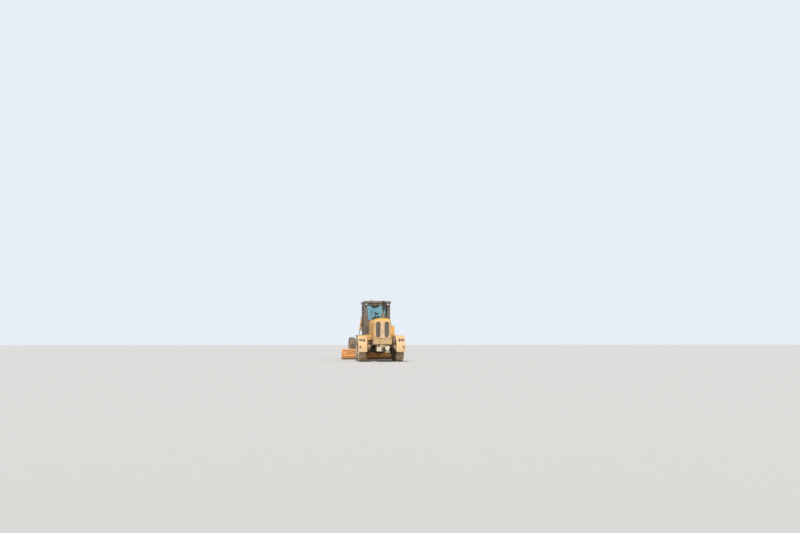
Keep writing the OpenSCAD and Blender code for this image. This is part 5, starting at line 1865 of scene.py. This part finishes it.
@dataclass
class FrontFrame(Assembly):
    """The arched beam's pipes, welds, valve block, saddle caps, headlamps, push plate and axle fittings."""

    beam_half: float = 0.14
    beam_top: float = 1.94
    saddle_y: float = 1.10
    saddle_x: float = 0.211
    trunnion: Pair = (0.68, 2.15)
    lamp_y: float = 2.045
    lamp: Pair = (0.46, 2.06)
    front_y: float = 3.65
    front_end: float = 4.40
    axle_z: float = 0.67
    lean_x: float = 0.77
    king_x: float = 0.89
    pipe_path: tuple[Pair, ...] = ((0.24, 1.42), (0.52, 1.70), (2.24, 1.71), (3.26, 1.12), (3.56, 1.12))
    welds: tuple[tuple[Pair, ...], ...] = (
        ((0.62, 1.645), (2.25, 1.645), (3.35, 1.015), (4.2, 1.015)),
        ((0.45, 1.935), (2.30, 1.935), (3.30, 1.325), (4.2, 1.248)))

    def build(self) -> None:
        """Builds every fitting of the front frame."""
        self.build_pipes()
        self.build_welds()
        self.build_valves()
        self.build_saddle()
        self.build_headlamps()
        self.build_nose()
        self.build_axle()
        self.build_kingpins()
        self.build_articulation()

    def build_pipes(self) -> None:
        """Builds the rigid oil pipes along the beam's sides, with their clamps and end blocks."""
        pipes, side = Shaper(), self.beam_half
        for level in (0.0, 0.045, 0.09):
            pipes.tube([(side + 0.016, y, z + level) for y, z in self.pipe_path], 0.011, 8, 0.12)
        clamp = Shaper().box((side, 0.70, 1.69), (side + 0.034, 0.74, 1.83), 0.005)
        self.bolts(clamp, Axis.X, (side + 0.033, 0.72, 1.732), 2, (0, 0, 0.045), 0.008)
        self.row(pipes, clamp, 2, (0, 0.78, 0))
        for y, low in ((0.20, 1.38), (3.50, 1.09)):
            pipes.box((side - 0.002, y, low), (side + 0.036, y + 0.10, low + 0.16), 0.005)
        self.shop.put(pipes.mirrored(), "beam_pipes", "front", STEEL)

    def build_welds(self) -> None:
        """Builds the weld seams along the beam's edges and the straps across its sides."""
        seam, side = Shaper(), self.beam_half
        for path in self.welds:
            seam.tube([Axis.X.point(side + 0.001, pair) for pair in path], 0.008, 6, 0.06)
        for y in (0.62, 2.02):
            seam.box((side - 0.002, y, 1.66), (side + 0.010, y + 0.10, 1.93), 0.003)
        self.shop.put(seam.mirrored(), "beam_welds", "front", FRONT_ORANGE)

    def build_valves(self) -> None:
        """Builds the valve block on the beam's top with its ports, and the pipes that run forward from it."""
        top = self.beam_top
        block = Shaper().box((-0.11, 0.56, top - 0.002), (0.11, 0.86, top + 0.10), 0.008)
        port = Shaper().rod(Axis.Z, 0.018, (-0.075, 0.60, top + 0.098), 0.022, 6, 0.002)
        port.rod(Axis.Z, 0.012, (-0.075, 0.60, top + 0.118), 0.02, 12)
        self.row(block, self.row(Shaper(), port, 3, (0.075, 0, 0)), 4, (0, 0.072, 0))
        for x in (-0.09, -0.03, 0.03, 0.09):
            path = [(0.85, top + 0.014), (2.30, top + 0.014), (3.28, 1.345), (3.42, 1.335)]
            block.tube([Axis.X.point(x, pair) for pair in path], 0.010, 8, 0.10)
        strap = Shaper().box((-0.12, 1.40, top - 0.002), (0.12, 1.44, top + 0.028))
        self.row(block, strap, 2, (0, 0.78, 0))
        block.box((-0.115, 3.36, 1.30), (0.115, 3.46, 1.362), 0.006)
        self.shop.put(block, "valve_block", "front", DARK_STEEL)

    def build_saddle(self) -> None:
        """Builds the caps of the lift cylinders' trunnions and the saddle's side plates, with their bolts."""
        (x, z), side = self.trunnion, self.saddle_x
        caps = Shaper()
        for out in (1.0, -1.0):
            y = self.saddle_y + out * 0.105
            caps.rod(Axis.Y, 0.062, (x, y, z), out * 0.018, 28, 0.004)
            self.bolt_ring(caps, Axis.Y, (x, y + out * 0.018, z), 0.046, 4, 0.010, out)
            self.bolts(caps, Axis.Y, (0.17, y, 1.64), 4, (0, 0, 0.10), 0.016, out)
        caps.box((side - 0.013, self.saddle_y - 0.08, 1.70), (side + 0.001, self.saddle_y + 0.08, 1.90))
        for level in (1.73, 1.87):
            self.bolts(caps, Axis.X, (side, self.saddle_y - 0.055, level), 3, (0, 0.055, 0), 0.013)
        self.shop.put(caps.mirrored(), "saddle_caps", "front", FRONT_ORANGE)

    def build_headlamps(self) -> None:
        """Builds the headlamps' bezels, guards and lenses."""
        bezel, clear = Shaper(), Shaper()
        (side, z), y = self.lamp, self.lamp_y
        rim = ((0.050, -0.024), (0.060, -0.024), (0.060, 0.006), (0.050, 0.006))
        glass = ((POLE, -0.010), (0.051, -0.010), (0.051, 0.001), (0.030, 0.008), (POLE, 0.010))
        guard = [(y + 0.002, z - 0.055), (y + 0.018, z - 0.04), (y + 0.018, z + 0.04), (y + 0.002, z + 0.055)]
        for x in (-side, side):
            bezel.revolve(Axis.Y, (x, y, z), rim, 32)
            clear.revolve(Axis.Y, (x, y, z), glass, 32)
            for bar in (x - 0.022, x + 0.022):
                bezel.tube([Axis.X.point(bar, pair) for pair in guard], 0.0035, 6, 0.012)
        self.shop.put(bezel, "headlamp_bezels", "front", BLACK)
        self.shop.put_lens(clear, "headlamp_lenses", "front", srgb(226, 226, 216))

    def build_nose(self) -> None:
        """Builds the push plate's ribs, ledges and bolts."""
        nose, y = Shaper(), self.front_end
        section = [(y - 0.15, 1.06), (y - 0.15, 1.20), (y - 0.05, 1.26), (y - 0.05, 0.90)]
        for z in (1.265, 0.85):
            nose.box((-0.40, y - 0.062, z), (0.40, y - 0.045, z + 0.035))
        for _, s in SIDES:
            nose.prism(Axis.X, section, s * 0.22 - 0.012, s * 0.22 + 0.012, 0.003)
            self.bolts(nose, Axis.Y, (s * 0.35, y - 0.05, 1.08), 2, (s * -0.06, 0, 0), 0.014, -1.0)
        self.shop.put(nose, "push_plate_ribs", "front", FRONT_ORANGE)

    def build_axle(self) -> None:
        """Builds the axle's gussets and side ribs, its pivot cap and the lean pins' caps."""
        y, z = self.front_y, self.axle_z
        axle, caps = Shaper(), Shaper()
        gusset = [(0.14, z + 0.095), (0.34, z + 0.095), (0.14, z + 0.22)]
        for out in (-1.0, 1.0):
            face, side = y + out * 0.11, y + out * 0.105
            caps.rod(Axis.Y, 0.052, (self.lean_x, face, z), out * 0.014)
            self.bolt_ring(caps, Axis.Y, (self.lean_x, face + out * 0.014, z), 0.034, 3, 0.008, out)
            caps.rod(Axis.Y, 0.075, (0.0, y + out * 0.16, 0.90), out * 0.02, 28, 0.004)
            axle.box((0.16, side - 0.008, z - 0.04), (0.60, side + 0.012, z + 0.085))
            axle.prism(Axis.Y, gusset, y + out * 0.06, y + out * 0.09)
        self.shop.put(axle.mirrored(), "axle_gussets", "front", FRONT_ORANGE)
        self.shop.put(caps.mirrored(), "axle_caps", "front", STEEL)

    def build_kingpins(self) -> None:
        """Builds the caps at both ends of each kingpin, with their bolts and nipples."""
        y, z = self.front_y, self.axle_z
        for side, s in SIDES:
            x, pin = s * self.king_x, Shaper()
            for low in (z + 0.148, z - 0.162):
                pin.rod(Axis.Z, 0.044, (x, y, low), 0.012)
            pin.rod(Axis.Z, 0.007, (x, y, z + 0.16), 0.018, 8, 0.002)
            self.bolt_ring(pin, Axis.Z, (x, y, z + 0.16), 0.028, 4, 0.007)
            self.shop.put(pin, f"kingpin_cap_{side}", f"steer_{side}", STEEL)

    def build_articulation(self) -> None:
        """Builds the caps at both ends of the articulation pin, and the bolts on the upper one."""
        caps = Shaper().rod(Axis.Z, 0.085, (0, 0, 1.276), 0.024, 32, 0.004)
        self.bolt_ring(caps, Axis.Z, (0, 0, 1.299), 0.068, 6, 0.010)
        caps.rod(Axis.Z, 0.085, (0, 0, 0.712), 0.022, 32, 0.004)
        self.shop.put(caps, "articulation_caps", "rear", STEEL)


@dataclass
class LiftCylinders(Assembly):
    """The glands, end caps and ports of the two lift cylinders, which lean in the machine's cross section."""

    trunnion: Point = (0.68, 1.10, 2.15)
    lean: float = math.atan(0.22 / 1.13)
    up: float = 0.62
    down: float = 0.35
    barrel_r: float = 0.06
    rod_gap: float = 0.0315

    def build(self) -> None:
        """Builds the fittings of both barrels."""
        r, low, high, gap, origin = self.barrel_r, -self.down, self.up, self.rod_gap, (0, 0, 0)
        wide = r + 0.008
        gland = ((gap, low - 0.012), (r - 0.012, low - 0.012), (wide, low + 0.004), (wide, low + 0.05),
                 (r - 0.002, low + 0.055), (gap, low + 0.05))
        cap = ((POLE, -0.06), (r + 0.007, -0.06), (r + 0.007, -0.004), (r - 0.006, 0.010), (POLE, 0.010))
        barrel = Shaper().revolve(Axis.Z, origin, gland, 32).revolve(Axis.Z, (0, 0, high), cap, 32)
        for z in (-0.10, 0.10):
            band = ((r - 0.002, z - 0.02), (wide, z - 0.014), (wide, z + 0.014), (r - 0.002, z + 0.02))
            barrel.revolve(Axis.Z, origin, band, 32)
        self.bolt_ring(barrel, Axis.Z, (0, 0, high + 0.009), 0.038, 4, 0.008)
        for port in ([(-r - 0.012, low + 0.03), (-r - 0.02, low + 0.08), (-r - 0.02, -0.2)],
                     [(-r - 0.02, 0.2), (-r - 0.02, high - 0.08), (-r + 0.005, high - 0.03)]):
            barrel.tube([Axis.X.point(0.0, pair) for pair in port], 0.009, 8, 0.02)
        for side, s in SIDES:
            place = Matrix.Scale(s, 4, (1, 0, 0)) @ Matrix.Translation(self.trunnion)
            leaning = barrel.copied(place @ Matrix.Rotation(-self.lean, 4, "Y"))
            self.shop.put(leaning, f"lift_barrel_{side}_ends", f"barrel_{side}", FRONT_ORANGE)


@dataclass
class BladeGroup(Assembly):
    """Bolts, caps, bands and ribs of the drawbar, the circle, the carrier and the blade."""

    circle_y: float = 1.25
    ring_z: Pair = (0.80, 0.88)
    ring_r: float = 0.76
    draw_top: float = 0.99
    shoe_r: float = 0.55
    drive_y: float = 1.73
    tip_pin: Pair = (1.02, 0.40)
    curve: Pair = (1.55, 0.395)
    curve_r: float = 0.40
    blade_t: float = 0.02
    blade_half: float = 1.83
    blade_z: Pair = (0.11, 0.63)
    rail_half: float = 1.20
    rail_z: Pair = (0.24, 0.56)
    edge_tilt: float = math.atan2(0.05, 0.09) + 0.02 - math.pi / 2
    bolt_x: float = -1.74
    bolt_step: float = 0.1513

    def build(self) -> None:
        """Builds the fittings of every body of the blade group."""
        self.build_drawbar()
        self.build_circle()
        self.build_carrier()
        self.build_mouldboard()
        self.build_edge()

    def build_drawbar(self) -> None:
        """Builds the drawbar's flange bolts, the tops of its shoes and the fins of its drive motor."""
        (y, top), shoe_r = (self.circle_y, self.draw_top), self.shoe_r
        bar = self.bolt_ring(Shaper(), Axis.Z, (0, y, top), 0.43, 16)
        for turn in (45, 135, 225, 315):
            shoe = Shaper().box((shoe_r - 0.03, -0.055, top - 0.002), (shoe_r + 0.025, 0.055, top + 0.02))
            self.bolts(shoe, Axis.Z, (shoe_r - 0.002, -0.035, top + 0.02), 2, (0, 0.07, 0), 0.013)
            bar.add(shoe.mesh, Matrix.Translation((0, y, 0)) @ Matrix.Rotation(math.radians(turn), 4, "Z"))
        self.bolt_ring(bar, Axis.Z, (0, self.drive_y, top + 0.12), 0.108, 10, 0.010)
        section = ((0.068, 0.0), (0.078, 0.0), (0.078, 0.008), (0.068, 0.008))
        fin = Shaper().revolve(Axis.Z, (0, self.drive_y, top + 0.14), section, 28)
        self.row(bar, fin, 5, (0, 0, 0.018))
        self.shop.put(bar, "drawbar_bolts", "bar", FRONT_ORANGE)

    def build_circle(self) -> None:
        """Builds the band round the circle's outer side and its rivets."""
        (low, high), r, middle = self.ring_z, self.ring_r, (0, self.circle_y, 0)
        band = Shaper().revolve(Axis.Z, middle, ((r - 0.004, low + 0.012), (r + 0.008, low + 0.016),
                                                 (r + 0.008, high - 0.016), (r - 0.004, high - 0.012)), 96)
        rivet = Shaper().rod(Axis.X, 0.010, (r + 0.006, self.circle_y, (low + high) / 2), 0.008, 10)
        self.ring(band, rivet, 36, middle)
        self.shop.put(band, "circle_band", "turntable", ORANGE)

    def build_carrier(self) -> None:
        """Builds the caps of the tipping pins."""
        caps = Shaper().rod(Axis.X, 0.048, (0.598, *self.tip_pin), 0.012)
        self.bolt_ring(caps, Axis.X, (0.61, *self.tip_pin), 0.030, 4, 0.008)
        self.shop.put(caps.mirrored(), "tipping_pin_caps", "tipper", STEEL)

    def bowed(self, grow: float, low: float, high: float, steps: int = 1) -> list[Pair]:
        """Returns Y and Z along the blade's curve.

        Args:
            grow: How far outside the curve.
            low: The height where it starts.
            high: The height where it ends.
            steps: Steps from the first point to the last.

        Returns:
            The points.
        """
        (y, middle), r = self.curve, self.curve_r + grow
        heights = [low + (high - low) * k / steps for k in range(steps + 1)]
        return [(y - math.sqrt(r ** 2 - (middle - z) ** 2), z) for z in heights]

    def build_mouldboard(self) -> None:
        """Builds the ribs on the blade's back outside its rails, its end caps and the bar along its top."""
        board, half, (low, high) = Shaper(), self.blade_half, self.blade_z
        for z in self.rail_z:
            inner = self.bowed(-0.002, z - 0.022, z + 0.022, 4)
            back = min(y for y, _ in inner) - 0.05
            section = [(back, z - 0.016), (back, z + 0.016), *reversed(inner)]
            board.prism(Axis.X, section, self.rail_half + 0.004, half - 0.06, 0.003)
        inner = self.bowed(-0.002, 0.18, 0.60, 8)
        section = [*((y - 0.036, z) for y, z in inner), *reversed(inner)]
        rib = Shaper().prism(Axis.X, section, self.rail_half + 0.20, self.rail_half + 0.216, 0.003)
        self.row(board, rib, 3, (0.16, 0, 0))
        behind, ahead = (self.bowed(grow, low + 0.004, high, 12) for grow in (0.008, -self.blade_t - 0.006))
        board.prism(Axis.X, [*behind, *reversed(ahead)], half - 0.022, half - 0.0005, 0.003)
        board.mirrored()
        top = self.bowed(-0.01, high - 0.012, high - 0.012)[0]
        board.tube([(0.02 - half, *top), (half - 0.02, *top)], 0.016)
        self.shop.put(board, "blade_ribs", "blade", ORANGE)

    def build_edge(self) -> None:
        """Builds the plough bolts along the cutting edge and their nuts behind it."""
        tilt = Matrix.Rotation(self.edge_tilt, 4, "X")
        head = Shaper().rod(Axis.Z, 0.017, (0, 0, -0.002), 0.006, 12, 0.002)
        head.box((-0.007, -0.007, 0.002), (0.007, 0.007, 0.0055), 0.001)
        nut = Shaper().rod(Axis.Z, 0.017, (0, 0, 0), 0.016, 6, 0.002)
        edge = Shaper()
        for shapes, y, z, turn in ((head, 1.3155, 0.080, tilt),
                                   (nut, 1.2875, 0.088, tilt @ Matrix.Rotation(math.pi, 4, "X"))):
            placed = shapes.copied(Matrix.Translation((self.bolt_x, y, z)) @ turn)
            self.row(edge, placed, 24, (self.bolt_step, 0, 0))
        self.shop.put(edge, "edge_bolts", "blade", RUSTY_STEEL)


@dataclass
class OperatorSeat(Assembly):
    """The seat: padded cushion, back and headrest on a sprung base, with armrests."""

    y: float = -0.97
    bellows: int = 6
    bellow_step: float = 0.052
    arm_x: float = 0.235
    voxel: float = 0.011
    frames: int = 20
    pressure: float = 4.0
    swell: float = 0.012
    channels: Pair = (-0.09, 0.09)
    channel_depth: float = 0.007
    channel_half: float = 0.012

    def build(self) -> None:
        """Builds the base and the three pads."""
        base, y = Shaper(), self.y
        outline = round_rectangle((-0.145, y - 0.19), (0.145, y + 0.19), 0.05)
        for z in (1.51 + self.bellow_step * k for k in range(self.bellows)):
            base.prism(Axis.Z, outline, z, z + 0.04, 0.012)
        base.box((-0.20, y - 0.20, 1.82), (0.20, y + 0.21, 1.856), 0.008)
        base.box((-0.19, y - 0.255, 1.86), (0.19, y - 0.235, 2.52), 0.01)
        for _, s in SIDES:
            x = s * self.arm_x
            base.box((x - 0.02, y - 0.21, 2.07), (x + 0.02, y + 0.10, 2.11), 0.015)
            base.tube([(x, y - 0.20, 2.08), (s * 0.20, y - 0.235, 2.05)], 0.014, 8)
            base.rod(Axis.Z, 0.008, (s * 0.06, y - 0.205, 2.50), 0.10, 10, 0.001)
        self.shop.put(base, "seat_base", "rear", PLASTIC, ["seat"])
        cloth = self.shop.paints.fabric()
        self.pad("seat_cushion", (-0.225, -1.155, 1.862), (0.225, -0.735, 1.955), Axis.Z, cloth)
        self.pad("seat_back", (-0.205, -1.195, 2.0), (0.205, -1.135, 2.55), Axis.Y, cloth)
        self.pad("seat_headrest", (-0.10, -1.195, 2.60), (0.10, -1.145, 2.765), Axis.Y, cloth)

    def pad(self, name: str, low: Point, high: Point, face: Axis, cloth: bpy.types.Material) -> None:
        """Builds one padded piece: a rounded block, blown up by cloth, with sewn channels.

        Args:
            name: The piece's name.
            low: Its lowest corner.
            high: Its highest corner.
            face: The direction of its sitting side.
            cloth: Its material.
        """
        piece = Shaper().box(low, high, 0.022).done(name, cloth, 60.0)
        self.blow_up(piece)
        self.sew(piece, face.unit(), (Vector(low) + Vector(high)) / 2)
        smooth = piece.modifiers.new("smooth", "SUBSURF")
        smooth.levels = smooth.render_levels = 1
        baked(piece)
        shade(piece, 80.0)
        self.shop.place(piece, "rear", Slot.FABRIC)

    def blow_up(self, piece: bpy.types.Object) -> None:
        """Remeshes a pad and swells it by a cloth simulation, which is then applied.

        Args:
            piece: The pad.
        """
        remesh = piece.modifiers.new("voxels", "REMESH")
        remesh.mode = "VOXEL"
        remesh.voxel_size = self.voxel
        baked(piece)
        start = [vertex.co.copy() for vertex in piece.data.vertices]
        cloth = piece.modifiers.new("cloth", "CLOTH")
        cloth.settings.use_pressure = True
        cloth.settings.uniform_pressure_force = self.pressure
        cloth.settings.effector_weights.gravity = 0.0
        cloth.settings.quality = 4
        cloth.point_cache.frame_start, cloth.point_cache.frame_end = 1, self.frames
        for frame in range(1, self.frames + 1):
            bpy.context.scene.frame_set(frame)
        baked(piece)
        bpy.context.scene.frame_set(1)
        for vertex, before in zip(piece.data.vertices, start):
            move = vertex.co - before
            if move.length > self.swell:
                vertex.co = before + move.normalized() * self.swell

    def sew(self, piece: bpy.types.Object, face: Vector, middle: Vector) -> None:
        """Presses two sewn channels into a pad's sitting side.

        Args:
            piece: The pad.
            face: The direction of its sitting side.
            middle: Its middle.
        """
        for vertex in piece.data.vertices:
            if (vertex.co - middle).dot(face) <= 0:
                continue
            for line in self.channels:
                near = abs(vertex.co.x - line) / self.channel_half
                if near < 1:
                    vertex.co -= face * self.channel_depth * (1 - near ** 2)


BODY_FINISHES: dict[str, Finish] = {
    "rear_frame": FRAME_YELLOW, "rear_axle": GRIMY_SHADED_STEEL, "tandem_cases": CASE_YELLOW, "hood": DUSTY_YELLOW,
    "engine": DARK_STEEL, "radiator": CORE, "hood_door_left": DUSTY_YELLOW, "hood_door_right": DUSTY_YELLOW,
    "exhaust": EXHAUST_BLACK, "mudguards": GUARD_YELLOW, "side_boxes": DUSTY_YELLOW, "platforms": DARK_STEEL,
    "oil_tank": FRONT_ORANGE, "lamps": BLACK, "cab_shell": CHARCOAL, "cab_roof": CHARCOAL,
    "door_left": CHARCOAL, "door_right": CHARCOAL, "console": PLASTIC, "rim_rear_left": LOW_YELLOW,
    "rim_rear_right": LOW_YELLOW, "rim_mid_left": LOW_YELLOW, "rim_mid_right": LOW_YELLOW,
    "front_frame": FRONT_ORANGE, "saddle": FRONT_ORANGE, "push_plate": FRONT_ORANGE,
    "headlamps": FRONT_ORANGE, "front_axle": FRONT_ORANGE, "lean_bar": STEEL,
    "lean_bracket_left": FRONT_ORANGE, "lean_bracket_right": FRONT_ORANGE,
    "knuckle_left": FRONT_ORANGE, "knuckle_right": FRONT_ORANGE,
    "rim_front_left": CLEAN_YELLOW, "rim_front_right": CLEAN_YELLOW, "lift_barrel_left": FRONT_ORANGE,
    "lift_barrel_right": FRONT_ORANGE, "lift_rod_left": CHROME, "lift_rod_right": CHROME,
    "drawbar_swivel": STEEL, "drawbar": FRONT_ORANGE, "blade_circle": ORANGE, "blade_carrier": ORANGE,
    "mouldboard": ORANGE, "cutting_edge": EDGE_STEEL,
}

GLASS_NODES = ("cab_glass", "door_glass_left", "door_glass_right")
PLAIN_NODES = ("lift_rod_left", "lift_rod_right", "engine", "radiator", "console")
ASSEMBLIES = (Wheels, EngineHood, RearEnd, Decks, Cab, OperatorSeat, FrontFrame, LiftCylinders, BladeGroup)


def dress_nodes(shop: Workshop) -> None:
    """Gives every CAD node its finish, with rounded edges where it shows them.

    Args:
        shop: The workshop.
    """
    for node, finish in BODY_FINISHES.items():
        if node in PLAIN_NODES:
            shop.paint(node, shop.paints.get(finish))
        else:
            shop.soften(node, finish)
    glass = shop.paints.glass()
    for node in GLASS_NODES:
        shop.paint(node, glass)


def main() -> None:
    """Builds the camera, the studio and the dressed machine."""
    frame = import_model()
    View().build()
    Studio().build()
    shop = Workshop(frame, Paints(Effects()))
    dress_nodes(shop)
    repeat = Repeater()
    for assembly in ASSEMBLIES:
        assembly(shop, repeat).build()


if __name__ == "__main__":
    logging.basicConfig(level=logging.INFO, format="%(message)s")
    main()
